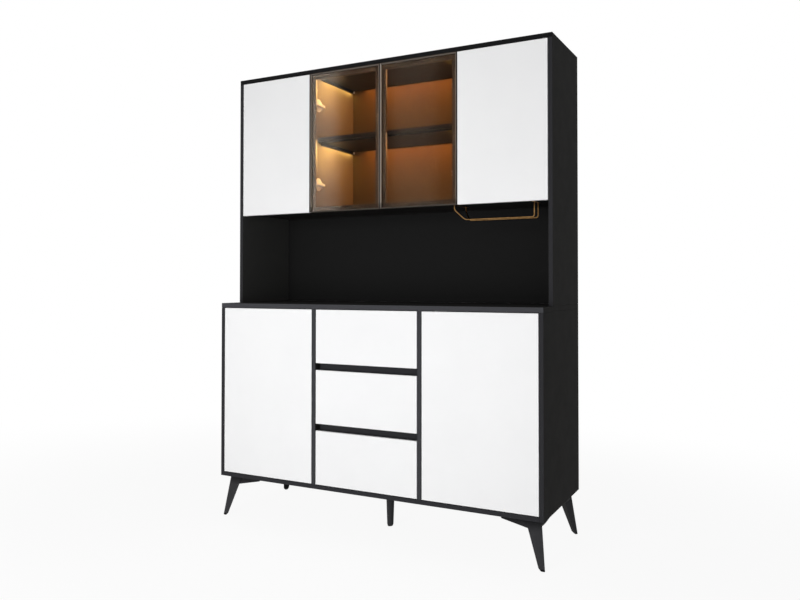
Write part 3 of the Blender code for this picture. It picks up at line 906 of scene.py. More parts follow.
def rounded_path(corners: Sequence[Point], bend: float, steps: int = 8) -> list[Vector]:
    """A path through corners, each turned into a smooth bend.

    Args:
        corners: The points of the plain path.
        bend: How far from a corner its bend starts.
        steps: Steps in a bend.

    Returns:
        Points along the path.
    """
    path = [Vector(corners[0])]
    for before, corner, after in zip(corners, corners[1:], corners[2:]):
        middle = Vector(corner)
        start = middle + (Vector(before) - middle).normalized() * bend
        end = middle + (Vector(after) - middle).normalized() * bend
        for k in range(steps + 1):
            t = k / steps
            path.append(start * (1 - t) ** 2 + middle * (2 * t * (1 - t)) + end * t * t)
    path.append(Vector(corners[-1]))
    return path


def wire(path: Sequence[Vector], radius: float, sides: int) -> Solid:
    """A round wire along a path.

    Args:
        path: Points along its middle.
        radius: Half its thickness.
        sides: Faces round it.

    Returns:
        The closed mesh.
    """
    rows = []
    heading = (path[1] - path[0]).normalized()
    across = heading.orthogonal().normalized()
    for i, point in enumerate(path):
        ahead = (path[min(i + 1, len(path) - 1)] - path[max(i - 1, 0)]).normalized()
        across = heading.rotation_difference(ahead) @ across
        heading = ahead
        up = heading.cross(across)
        ring = (across * math.cos(a) + up * math.sin(a) for a in round_angles(sides))
        rows.append([tuple(point + out * radius) for out in ring])
    return lofted(rows)


def plain_mesh(name: str, solid: Solid) -> bpy.types.Mesh:
    """Turns a solid, which is used up, into a mesh.

    Args:
        name: The mesh's name.
        solid: What it is made from.

    Returns:
        The new mesh.
    """
    mesh = bpy.data.meshes.new(name)
    solid.to_mesh(mesh)
    solid.free()
    return mesh


def merged(solids: Sequence[Solid]) -> Solid:
    """Puts several meshes into one and frees them.

    Args:
        solids: The meshes.

    Returns:
        One mesh with all their faces.
    """
    whole = bmesh.new()
    for solid in solids:
        mesh = plain_mesh("part", solid)
        whole.from_mesh(mesh)
        bpy.data.meshes.remove(mesh)
    return whole


def soften(mesh: bpy.types.Mesh) -> None:
    """Shades a mesh smoothly between its sharp edges."""
    mesh.shade_smooth()
    mesh.set_sharp_from_angle(angle=math.radians(FOLD))


def placed(name: str, data: bpy.types.ID) -> bpy.types.Object:
    """Adds an object to the scene.

    Args:
        name: Its name.
        data: Its mesh, lamp or camera.

    Returns:
        The new object, at the origin.
    """
    made = bpy.data.objects.new(name, data)
    bpy.context.scene.collection.objects.link(made)
    return made


def area_lamp(
    name: str, spot: Point, size: Span, watts: float, colour: Colour = (1.0, 1.0, 1.0)
) -> bpy.types.Object:
    """Adds a flat lamp that isn't seen itself.

    Args:
        name: The lamp's name.
        spot: Its middle.
        size: Its width and depth.
        watts: Its power.
        colour: Its colour.

    Returns:
        The lamp's object, which faces down.
    """
    light = bpy.data.lights.new(name, "AREA")
    light.shape = "RECTANGLE"
    light.size, light.size_y = size
    light.energy = watts
    light.color = colour
    holder = placed(name, light)
    holder.location = spot
    holder.visible_camera = False
    return holder


def piece(
    name: str, solid: Solid, finish: Any, body: str = "carcass", replaces: Sequence[str] = (),
    smooth: bool = True,
) -> None:
    """Adds a finished piece that rides on a body.

    Args:
        name: The piece's name.
        solid: Its mesh in the cabinet's frame, which is used up.
        finish: What it is made of.
        body: The body that it moves with.
        replaces: Solids that it stands for.
        smooth: Whether its rounded edges are shaded smoothly.
    """
    mesh = plain_mesh(name, solid)
    if smooth:
        soften(mesh)
    mesh.materials.append(finish.material())
    settle(placed(name, mesh), body, finish.slot, replaces)


def settle(made: bpy.types.Object, body: str, slot: str, replaces: Sequence[str] = ()) -> None:
    """Makes an object ride on a body and names what it stands for.

    Args:
        made: The object, in place.
        body: The body that it moves with.
        slot: The record's material slot.
        replaces: Solids that it stands for.
    """
    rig.ride(made, body)
    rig.slot(made, slot)
    if replaces:
        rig.replaces(made, *replaces)
    LOG.info("%s rides on %s", made.name, body)


def mirror_place(x: float, y: float, side: Side) -> Placer:
    """Places points by their distance from an edge towards the middle, and from a front plane back.

    Args:
        x: Where the edge is.
        y: Where the front plane is.
        side: The half of the cabinet.

    Returns:
        The placing function.
    """
    return lambda u, v, w: (x + side.value * u, y + v, w)


class Fastener(Enum):
    """What a scatter puts at each spot."""

    SCREW = "screw"
    PIN = "pin"
    BUMPER = "bumper"
    ROLLER = "roller"


@dataclass
class Scatter:
    """A Geometry Nodes tree that sets one small round piece at each point, facing outwards."""

    kind: Fastener
    group: bpy.types.NodeTree = field(init=False)
    nodes: Tree = field(init=False)
    source: bpy.types.Node = field(init=False)
    recess: Span = (1.15, 0.26)
    recess_turn: float = 0.4

    def __post_init__(self) -> None:
        """Builds the tree with its named inputs."""
        self.group = bpy.data.node_groups.new(f"{self.kind.value}_scatter", "GeometryNodeTree")
        self.nodes = Tree(self.group)
        face = self.group.interface
        face.new_socket("Points", in_out="INPUT", socket_type="NodeSocketGeometry")
        for name in ("Radius", "Height", "Material"):
            socket_type = "NodeSocketMaterial" if name == "Material" else "NodeSocketFloat"
            face.new_socket(name, in_out="INPUT", socket_type=socket_type)
        face.new_socket("Pieces", in_out="OUTPUT", socket_type="NodeSocketGeometry")
        self.source = self.nodes.node("NodeGroupInput")
        self.build()

    def sizes(self) -> tuple[Term, Term]:
        """The tree's radius and height."""
        radius, tall = (Term(self.nodes, self.source.outputs[name]) for name in ("Radius", "Height"))
        return radius, tall

    def disc(
        self, base: float, top: float, height: float, lift: float = 0.0, sides: int = 20
    ) -> bpy.types.NodeSocket:
        """A round slice on the facing axis.

        Args:
            base: Radius at its base, in radii.
            top: Radius at its top, in radii.
            height: Its height, in heights.
            lift: Height of its base, in heights.
            sides: Faces round it.

        Returns:
            The slice's geometry socket.
        """
        radius, tall = self.sizes()
        cone = self.nodes.node("GeometryNodeMeshCone", None, {
            "Vertices": sides, "Radius Top": radius * top, "Radius Bottom": radius * base,
            "Depth": tall * height})
        return self.raised(cone, tall * lift)

    def raised(self, shape: bpy.types.Node, lift: Term, turn: float = 0.0) -> bpy.types.NodeSocket:
        """Moves a shape along the facing axis.

        Args:
            shape: The node that makes it.
            lift: How far it moves.
            turn: Its angle about the axis.

        Returns:
            The moved shape's geometry socket.
        """
        offset = self.nodes.node("ShaderNodeCombineXYZ", None, {2: lift})
        moved = self.nodes.node("GeometryNodeTransform", None, {
            "Geometry": shape.outputs["Mesh"], "Translation": offset.outputs[0],
            "Rotation": (0.0, 0.0, turn)})
        return moved.outputs[0]

    def slot(self, turn: float) -> bpy.types.NodeSocket:
        """One bar of a cross recess.

        Args:
            turn: Its angle about the facing axis.

        Returns:
            The bar's geometry socket.
        """
        radius, tall = self.sizes()
        length, width = self.recess
        size = self.nodes.node("ShaderNodeCombineXYZ", None, {0: radius * length, 1: radius * width, 2: tall})
        cube = self.nodes.node("GeometryNodeMeshCube", None, {"Size": size.outputs[0]})
        return self.raised(cube, tall, turn)

    def shape(self) -> bpy.types.NodeSocket:
        """The small piece itself.

        Returns:
            Its geometry socket.
        """
        if self.kind is Fastener.SCREW:
            head = self.nodes.node("GeometryNodeMeshBoolean", {"operation": "UNION"}, {
                "Mesh 2": [self.disc(1.0, 1.0, 0.45), self.disc(1.0, 0.72, 0.56, 0.44)]})
            cut = self.nodes.node("GeometryNodeMeshBoolean", {"operation": "DIFFERENCE"}, {
                "Mesh 1": head.outputs[0],
                "Mesh 2": [self.slot(self.recess_turn), self.slot(self.recess_turn + math.pi / 2)]})
            return cut.outputs[0]
        layers = {
            Fastener.PIN: [(0.5, 0.5, 1.0, 0.0), (1.0, 1.0, 0.16, 0.0), (0.5, 0.38, 0.08, 1.0)],
            Fastener.BUMPER: [(1.0, 1.0, 0.35, 0.0), (1.0, 0.78, 0.4, 0.35), (0.78, 0.3, 0.25, 0.75)],
            Fastener.ROLLER: [(0.92, 1.0, 0.15, 0.0), (1.0, 1.0, 0.6, 0.15), (1.0, 0.92, 0.15, 0.75),
                              (0.34, 0.30, 0.1, 0.9)],
        }
        parts = [self.disc(*layer, sides=24) for layer in layers[self.kind]]
        return self.nodes.node("GeometryNodeJoinGeometry", None, {0: parts}).outputs[0]

    def build(self) -> None:
        """Links the points to the pieces."""
        node = self.nodes.node
        facing = node("GeometryNodeInputNamedAttribute", {"data_type": "FLOAT_VECTOR"}, {"Name": "facing"})
        turn = node("FunctionNodeAlignRotationToVector", {"axis": "Z"}, {"Vector": facing.outputs[0]})
        copies = node("GeometryNodeInstanceOnPoints", None, {
            "Points": self.source.outputs["Points"], "Instance": self.shape(), "Rotation": turn.outputs[0]})
        real = node("GeometryNodeRealizeInstances", None, {"Geometry": copies.outputs[0]})
        painted = node("GeometryNodeSetMaterial", None, {
            "Geometry": real.outputs[0], "Material": self.source.outputs["Material"]})
        node("NodeGroupOutput", None, {0: painted.outputs[0]})

    def add(
        self, name: str, spots: Sequence[tuple[Point, Point]], size: Span, finish: Finish,
        body: str = "carcass",
    ) -> None:
        """Sets the pieces of one body and turns them into a plain mesh.

        Args:
            name: The name of the piece that holds them all.
            spots: Positions and outward directions.
            size: Radius and height of each.
            finish: What they are made of.
            body: The body that they move with.
        """
        mesh = bpy.data.meshes.new(name)
        mesh.from_pydata([tuple(spot) for spot, _ in spots], [], [])
        facing = mesh.attributes.new("facing", "FLOAT_VECTOR", "POINT")
        facing.data.foreach_set("vector", [part for _, direction in spots for part in direction])
        made = placed(name, mesh)
        modifier = made.modifiers.new("scatter", "NODES")
        modifier.node_group = self.group
        values = {"Radius": size[0], "Height": size[1], "Material": finish.material()}
        for item in self.group.interface.items_tree:
            if item.in_out == "INPUT" and item.name in values:
                modifier[item.identifier] = values[item.name]
        bpy.context.view_layer.update()
        graph = bpy.context.evaluated_depsgraph_get()
        plain = bpy.data.meshes.new_from_object(made.evaluated_get(graph), depsgraph=graph)
        made.modifiers.remove(modifier)
        made.data = plain
        plain.name = name
        bpy.data.meshes.remove(mesh)
        soften(plain)
        settle(made, body, finish.slot)


@dataclass
class Tools:
    """The scatters that every sub-assembly shares."""

    screws: Scatter = field(default_factory=lambda: Scatter(Fastener.SCREW))
    pins: Scatter = field(default_factory=lambda: Scatter(Fastener.PIN))
    bumpers: Scatter = field(default_factory=lambda: Scatter(Fastener.BUMPER))
    rollers: Scatter = field(default_factory=lambda: Scatter(Fastener.ROLLER))


def paint(nodes: dict[str, bpy.types.Object], finish: Any, names: Iterable[str]) -> None:
    """Gives solids that are shown as they are their finish.

    Args:
        nodes: The solids by name.
        finish: What they are made of.
        names: Which of them.
    """
    for name in names:
        target = nodes[name]
        target.data.materials.clear()
        target.data.materials.append(finish.material())
        LOG.info("%s painted %s", name, finish.name)


@dataclass
class Carcass:
    """The boards of both parts, with shelf pins, back screws, brackets and push latches."""

    nodes: dict[str, bpy.types.Object]
    tools: Tools
    seat: float = 0.0002
    pin_inset: float = 0.045
    pin_size: Span = (0.0042, 0.009)
    screw_margin: float = 0.012
    screw_pitch: float = 0.17
    latch_size: Point = (0.016, 0.072, 0.014)
    latch_inset: float = 0.05
    latch_gap: float = 0.006
    latch_start: float = 0.004
    latch_seat: float = 0.0003
    latch_tip: tuple[Span, ...] = ((0.0032, 0.0), (0.0040, 0.001), (0.0040, 0.008), (0.0030, 0.009))
    latch_reach: float = 0.003
    bracket: float = 0.010
    bracket_gauge: float = 0.0016
    bracket_drop: float = 0.001
    bracket_hole: float = 0.6

    def dress(self) -> None:
        """Paints the boards and adds what is fixed to them."""
        backs = ("base_back", "hutch_back")
        boards = [
            "base_left_side", "base_right_side", "base_floor", "base_left_shelf", "base_right_shelf",
            "lower_drawer_rail", "upper_drawer_rail", "hutch_floor", "hutch_left_shelf", "hutch_right_shelf",
        ]
        shelves = [f"{part}_{side.word}_shelf" for part in ("base", "hutch") for side in Side]
        for finish, names in (
            (BLACK_BOARD, boards),
            (DIVIDING_BOARD, [f"base_{side.word}_divider" for side in Side]),
            (HUTCH_SIDE_BOARD, [f"hutch_{side.word}_side" for side in Side]),
            (WORKTOP_BOARD, ["worktop"]),
            (TOP_BOARD, ["hutch_top"]),
            (SHELF_BOARD, ["hutch_centre_shelf"]),
            (DIVIDER_BOARD, [f"hutch_{side.word}_divider" for side in Side]),
            (BACK_BOARD, backs),
        ):
            paint(self.nodes, finish, names)
        self.shelf_pins("shelf_pins", shelves, HINGE_STEEL)
        self.shelf_pins("lit_shelf_pins", ["hutch_centre_shelf"], DARK_PLASTIC)
        for name in backs:
            self.back_screws(name)
        self.corner_brackets()
        self.push_latches()

    def shelf_pins(self, name: str, shelves: Sequence[str], finish: Finish) -> None:
        """Sets four pins under each shelf, standing out of the boards beside it.

        Args:
            name: The piece's name.
            shelves: The shelves' names.
            finish: What the pins are made of.
        """
        spots = []
        for shelf in shelves:
            low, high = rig.box(shelf)
            z = low[2] - self.pin_size[0]
            for y in (low[1] + self.pin_inset, high[1] - self.pin_inset):
                spots.append(((low[0] - self.seat, y, z), (1, 0, 0)))
                spots.append(((high[0] + self.seat, y, z), (-1, 0, 0)))
        self.tools.pins.add(name, spots, self.pin_size, finish)

    def back_screws(self, panel: str) -> None:
        """Sets screws round the rim of a back panel.

        Args:
            panel: The panel's name.
        """
        low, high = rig.box(panel)
        m, y = self.screw_margin, high[1]
        across, up = (max(2, round((high[axis] - low[axis]) / self.screw_pitch)) for axis in (0, 2))
        spots = []
        for k in range(across + 1):
            x = low[0] + m + (high[0] - low[0] - 2 * m) * k / across
            spots += [((x, y, z), (0, 1, 0)) for z in (low[2] + m, high[2] - m)]
        for k in range(1, up):
            z = low[2] + m + (high[2] - low[2] - 2 * m) * k / up
            spots += [((x, y, z), (0, 1, 0)) for x in (low[0] + m, high[0] - m)]
        self.tools.screws.add(f"{panel}_screws", spots, LARGE_SCREW, SLIDE_STEEL)

    def corner_brackets(self) -> None:
        """Adds the small angle brackets in the upper back corners of the glazed compartment."""
        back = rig.box("hutch_back")[0][1] - self.seat
        size, thick, hole = self.bracket, self.bracket_gauge, self.bracket_hole * self.bracket
        outline = ((0, 0), (0, -size), (thick, -size), (thick, -thick), (size, -thick), (size, 0))
        solids, spots = [], []
        for side in Side:
            wall = side.inner(*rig.box(f"hutch_{side.word}_divider"))
            place = mirror_place(wall + side.value * self.seat, back, side)
            for ceiling in ("hutch_top", "hutch_centre_shelf"):
                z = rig.box(ceiling)[0][2] - size / 2 - self.bracket_drop
                solids.append(prism(outline, place, z - size / 2, z + size / 2, rounding=0.0004))
                spots.append((place(thick, -hole, z), (side.value, 0, 0)))
                spots.append((place(hole, -thick, z), (0, -1, 0)))
        piece("corner_brackets", merged(solids), HINGE_STEEL)
        self.tools.screws.add("corner_bracket_screws", spots, SMALL_SCREW, HINGE_STEEL)

    def push_latches(self) -> None:
        """Adds a push latch under the worktop behind the free edge of each base door."""
        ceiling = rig.box("worktop")[0][2] - self.latch_seat
        width, depth, height = self.latch_size
        for side in Side:
            low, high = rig.box(f"base_{side.word}_door")
            free = side.inner(low, high)
            place = mirror_place(free - side.value * self.latch_inset, high[1] + self.latch_gap, side)
            body = block(
                place(-width / 2, self.latch_start, ceiling - height), place(width / 2, depth, ceiling),
                rounding=0.0015)
            tip = turned(
                self.latch_tip,
                lambda a, b, h, p=place: p(a, h - self.latch_reach, ceiling - height / 2 + b), 20)
            piece(f"base_{side.word}_push_latch", merged([body, tip]), PALE_PLASTIC)


@dataclass
class Fronts:
    """The white doors and the glazed doors, with the bumpers behind their free edges."""

    nodes: dict[str, bpy.types.Object]
    tools: Tools
    bumper_size: Span = (0.004, 0.0014)
    bumper_inset: float = 0.006
    bumper_rise: float = 0.06

    def dress(self) -> None:
        """Paints doors, frames and panes and adds the bumpers."""
        white = [f"{part}_{side.word}_door" for part in ("base", "hutch") for side in Side]
        paint(self.nodes, WHITE_DOOR, white)
        paint(self.nodes, FRAME_METAL, [f"glass_{side.word}_door_frame" for side in Side])
        paint(self.nodes, BRONZE_GLASS, [f"glass_{side.word}_door_pane" for side in Side])
        for side in Side:
            self.bumper_pair(f"hutch_{side.word}_door", side)

    def bumper_pair(self, door: str, side: Side) -> None:
        """Sets two bumpers on the back of a door's free edge, where it meets a divider.

        Args:
            door: The door's board and body.
            side: The half of the cabinet.
        """
        low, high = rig.box(door)
        x = side.inner(low, high) - side.value * self.bumper_inset
        rises = (low[2] + self.bumper_rise, high[2] - self.bumper_rise)
        spots = [((x, high[1], z), (0, 1, 0)) for z in rises]
        self.tools.bumpers.add(f"{door}_bumpers", spots, self.bumper_size, PALE_PLASTIC, door)


@dataclass
class Hinges:
    """Concealed hinges: a plate and arm on the carcass, a cup in the door and the links between them."""

    tools: Tools
    front: float = 0.018
    seat: float = 0.0002
    cup_edge: float = 0.004
    cup_centre: float = 0.0175
    cup_radius: float = 0.0172
    cup_depth: float = 0.0058
    cup_half: float = 0.0168
    cup_slack: float = 0.0003
    cup_flange: float = 0.0018
    cup_rim: float = 0.0010
    cup_hole: float = 0.024
    wall: float = 0.0006
    tab: Span = (0.0185, 0.033)
    tab_edge: float = 0.003
    tab_hole: Span = (0.0115, 0.027)
    glazed_base: float = 0.0080
    tip: Span = (0.0160, 0.0250)
    tip_depth: float = 0.0140
    arm_half: float = 0.0056
    arm_height: float = 0.0120
    arm_lift: float = 0.003
    arm_screws: Span = (0.036, 0.009)
    plate_half: float = 0.0075
    plate_gap: float = 0.0001
    plate_gauge: float = 0.0018
    plate_hole: float = 0.019
    saddle_half: float = 0.0045
    saddle_height: Span = (0.001, 0.006)
    ear: float = 0.029
    ear_root: Span = (0.010, 0.054)
    ear_tip: Span = (0.012, 0.034)
    frame_width: float = 0.020
    link_start: Span = (0.002, 0.006)
    link_end: Span = (0.004, -0.0042)
    link_rise: float = 0.0072
    link_half: Span = (0.0009, 0.0012)
    stretch: int = 14

    def dress(self) -> None:
        """Builds the two hinges of each door."""
        for side in Side:
            for part in ("base", "hutch", "glass"):
                suffix = "_frame" if part == "glass" else ""
                for level in ("lower", "upper"):
                    self.build(part, side, level, f"{part}_{side.word}_door{suffix}")

    def build(self, part: str, side: Side, level: str, leaf: str) -> None:
        """Builds one hinge.

        Args:
            part: The kind of door.
            side: The half of the cabinet.
            level: Which of the door's hinges.
            leaf: The door's board or frame.
        """
        node = f"{part}_{side.word}_{level}_hinge"
        body = f"{part}_{side.word}_door"
        low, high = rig.box(leaf)
        arm_low, arm_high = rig.box(node)
        height = (arm_low[2] + arm_high[2]) / 2
        edge = side.outer(low, high)
        base = side.value * (side.outer(arm_low, arm_high) - edge)
        if part == "glass":
            base = min(base, self.glazed_base)
        flat = mirror_place(edge, low[1], side)

        def place(u: float, v: float, w: float) -> Point:
            """A point from the door's edge and front, at a height about the hinge's middle."""
            return flat(u, v, height + w)

        self.arm(node, place, base, arm_high[1] - low[1], side)
        self.cup(f"{node}_cup", body, place, part == "glass")
        self.links(f"{node}_links", body, place)

    def arm(self, node: str, place: Placer, base: float, reach: float, side: Side) -> None:
        """The plate on the carcass and the arm that it carries.

        Args:
            node: The solid that it stands for.
            place: Places points about the hinge.
            base: The carcass face, from the door's edge.
            reach: The arm's back end, from the door's front.
            side: The half of the cabinet.
        """
        top, thick, lifted = base + self.arm_height, base + self.plate_gauge, base + self.arm_lift
        front, half, (low, high) = self.front, self.plate_half, self.tip
        outline = (
            (low, self.tip_depth), (high, self.tip_depth), (high, front + 0.013),
            (high - 0.002, front + 0.017), (top, front + 0.030), (top, reach - 0.004),
            (top - 0.002, reach), (lifted, reach), (lifted, front + 0.026), (low, front + 0.010),
        )
        arm = prism(outline, place, -self.arm_half, self.arm_half, rounding=0.0011)
        root, tip = ([front + v for v in ends] for ends in (self.ear_root, self.ear_tip))
        outline_plate = (
            (root[0], -half), (tip[0], -self.ear), (tip[1], -self.ear), (root[1], -half), (reach, -half),
            (reach, half), (root[1], half), (tip[1], self.ear), (tip[0], self.ear), (root[0], half),
        )
        plate = prism(
            outline_plate, lambda v, w, u: place(u, v, w), base + self.plate_gap, thick, rounding=0.0006)
        saddle = block(
            place(base + self.saddle_height[0], front + 0.030, -self.saddle_half),
            place(base + self.saddle_height[1], reach - 0.003, self.saddle_half), rounding=0.001)
        piece(node + "_arm", merged([arm, plate, saddle]), HINGE_STEEL, replaces=(node,))
        out = (side.value, 0, 0)
        spots = [(place(thick, sum(tip) / 2, w), out) for w in (-self.plate_hole, self.plate_hole)]
        ahead, behind = self.arm_screws
        spots += [(place(top, v, 0.0), out) for v in (front + ahead, reach - behind)]
        self.tools.screws.add(node + "_screws", spots, ARM_SCREW, HINGE_STEEL)

    def cup(self, name: str, body: str, place: Placer, framed: bool) -> None:
        """The cup in the door, with its flange and screws.

        Args:
            name: The piece's name.
            body: The door's body.
            place: Places points about the hinge.
            framed: Whether the door is a narrow frame, which takes a square cup.
        """
        make = self.square_cup if framed else self.round_cup
        solids, holes = make(place, self.front - self.cup_depth, self.front + self.seat)
        piece(name, merged(solids), HINGE_STEEL, body)
        spots = [(hole, (0, 1, 0)) for hole in holes]
        self.tools.screws.add(name + "_screws", spots, CUP_SCREW, HINGE_STEEL, body)

    def square_cup(self, place: Placer, floor: float, back: float) -> tuple[list[Solid], list[Point]]:
        """The cup of a narrow frame, with a tab above and below it.

        Args:
            place: Places points about the hinge.
            floor: Where its floor is, from the door's front.
            back: Where its flange starts.

        Returns:
            Its meshes and the places of its screws.
        """
        rim = self.front + self.cup_rim
        inner, outer = self.cup_edge + self.cup_slack, self.frame_width - self.seat
        flange, wall = self.cup_flange, self.wall
        rows = []
        for grow, v in (
            (0.0, floor), (0.0, back), (flange, back), (flange, rim), (-wall, rim), (-wall, floor + wall)
        ):
            half = self.cup_half + grow
            corners = ((inner - grow, -half), (outer, -half), (outer, half), (inner - grow, half))
            rows.append([place(u, v, w) for u, w in corners])
        solids = [lofted(rows)]
        near, far = self.tab
        for w in (-1, 1):
            solids.append(block(
                place(self.tab_edge, back, w * near), place(outer, rim, w * far), rounding=0.0003))
        across, rise = self.tab_hole
        return solids, [place(across, rim, w) for w in (-rise, rise)]

    def round_cup(self, place: Placer, floor: float, back: float) -> tuple[list[Solid], list[Point]]:
        """The cup of a board, with an ear above and below it.

        Args:
            place: Places points about the hinge.
            floor: Where its floor is, from the door's front.
            back: Where its flange starts.

        Returns:
            Its meshes and the places of its screws.
        """
        rim, centre = self.front + self.cup_rim, self.cup_edge + self.cup_centre
        radius, wall = self.cup_radius, self.wall
        profile = (
            (radius - 0.002, floor), (radius, floor + 0.002), (radius, back), (radius + 0.0022, back),
            (radius + 0.0022, rim - 0.0002), (radius + 0.0018, rim), (radius - wall, rim),
            (radius - wall, floor + 0.0022), (radius - 0.0026, floor + wall),
        )
        solids = [turned(profile, lambda a, b, h: place(centre + a, h, b), 40)]
        for w in (-1, 1):
            ear = (
                (centre - 0.007, w * 0.016), (centre + 0.007, w * 0.016), (centre + 0.0055, w * 0.0285),
                (centre + 0.003, w * 0.0305), (centre - 0.003, w * 0.0305), (centre - 0.0055, w * 0.0285))
            solids.append(prism(ear, lambda u, v, d: place(u, d, v), back, rim, rounding=0.0003))
        return solids, [place(centre, rim, w) for w in (-self.cup_hole, self.cup_hole)]

    def links(self, name: str, body: str, place: Placer) -> None:
        """The two links that follow the door out of the cabinet.

        Args:
            name: The piece's name.
            body: The door's body.
            place: Places points about the hinge.
        """
        start = Vector((self.tip[0] + self.link_start[0], self.front + self.link_start[1]))
        end = Vector((self.tip[1] + self.link_end[0], self.front + self.link_end[1]))
        along = (end - start).normalized()
        thick, half = self.link_half
        across = Vector((-along.y, along.x)) * thick
        solids = []
        for w in (-self.link_rise, self.link_rise):
            rows = []
            for k in range(self.stretch + 1):
                middle = start + (end - start) * (k / self.stretch)
                first, second = middle - across, middle + across
                corners = ((first, w - half), (second, w - half), (second, w + half), (first, w + half))
                rows.append([place(corner.x, corner.y, rise) for corner, rise in corners])
            solids.append(lofted(rows))
        mesh = plain_mesh(name, merged(solids))
        mesh.materials.append(HINGE_STEEL.material())
        made = placed(name, mesh)
        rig.blend(made, "carcass", body, start=place(start.x, start.y, 0.0), end=place(end.x, end.y, 0.0))
        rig.slot(made, "hinge_steel")
        LOG.info("%s bends between carcass and %s", name, body)


@dataclass
class Drawers:
    """The drawers: white fronts, jointed boxes, steel runners and the slides that they roll in."""

    nodes: dict[str, bpy.types.Object]
    tools: Tools
    wall: float = 0.012
    floor: float = 0.008
    floor_rise: float = 0.001
    top_step: float = 0.001
    fit: float = 0.0001
    easing: float = 0.0009
    front_screws: Span = (0.09, 0.04)
    back_screws: Span = (0.045, 0.11)
    runner_depth: float = 0.0098
    runner_rise: float = 0.014
    runner_height: float = 0.016
    runner_end: float = 0.004
    gauge: float = 0.0012
    roller_size: Span = (0.0062, 0.0052)
    roller_spot: Span = (0.0022, 0.012)

    def dress(self) -> None:
        """Builds the three drawers and paints their fronts and slides."""
        levels = ("lower", "middle", "upper")
        slides = [f"{level}_drawer_{side.word}_slide" for level in levels for side in Side]
        paint(self.nodes, WHITE_FRONT, [f"{level}_drawer_front" for level in levels])
        paint(self.nodes, SLIDE_STEEL, slides)
        for level in levels:
            self.box(level)
            self.runners(level)

    def box(self, level: str) -> None:
        """The box: sides that run through, a front and back between them and a floor in their grooves.

        Args:
            level: Which drawer.
        """
        node, body = f"{level}_drawer_box", f"{level}_drawer"
        low, high = (Vector(corner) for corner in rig.box(node))
        low.x += self.runner_depth
        high.x -= self.runner_depth
        wall, fit, top = self.wall, self.fit, high.z
        boards = []
        for side in Side:
            outer = side.outer(low, high)
            far = (outer + side.value * wall, high.y, top)
            boards.append(block((outer, low.y, low.z), far, self.easing))
        left, right = low.x + wall - fit, high.x - wall + fit
        for near, far in ((low.y, low.y + wall), (high.y - wall, high.y)):
            boards.append(block((left, near, low.z), (right, far, top - self.top_step), self.easing))
        boards.append(block(
            (left, low.y + wall - fit, low.z + self.floor_rise),
            (right, high.y - wall + fit, low.z + self.floor), rounding=0.0004))
        piece(body + "_boards", merged(boards), DRAWER_BOARD, body, (node,))
        inset, rise = self.front_screws
        spots = [
            ((x, low.y + wall, z), (0, 1, 0))
            for x in (low.x + inset, high.x - inset) for z in (low.z + rise, top - rise)]
        spots += [
            ((side.outer(low, high), high.y - wall / 2, low.z + self.floor + z), (-side.value, 0, 0))
            for side in Side for z in self.back_screws]
        self.tools.screws.add(body + "_screws", spots, BOX_SCREW, SLIDE_STEEL, body)

    def runners(self, level: str) -> None:
        """The steel runner along each side of a drawer and the roller of the slide that carries it.

        Args:
            level: Which drawer.
        """
        body = f"{level}_drawer"
        low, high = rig.box(f"{level}_drawer_box")
        z0 = low[2] + self.runner_rise
        z1 = z0 + self.runner_height
        near, far = low[1] + self.runner_end, high[1] - self.runner_end
        g, depth = self.gauge, self.runner_depth - self.fit
        outline = (
            (0, z0), (depth, z0), (depth, z0 + g), (g, z0 + g),
            (g, z1 - g), (depth, z1 - g), (depth, z1), (0, z1),
        )
        across, along = self.roller_spot
        solids, spots = [], []
        for side in Side:
            place = mirror_place(side.outer(low, high), 0.0, side)
            solids.append(prism(outline, lambda u, v, w, p=place: p(u, w, v), near, far, rounding=0.0003))
            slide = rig.box(f"{level}_drawer_{side.word}_slide")
            spots.append((place(across, slide[0][1] + along, (z0 + z1) / 2), (side.value, 0, 0)))
        piece(body + "_runners", merged(solids), SLIDE_STEEL, body, smooth=False)
        self.tools.rollers.add(f"{body}_slide_rollers", spots, self.roller_size, PALE_PLASTIC)


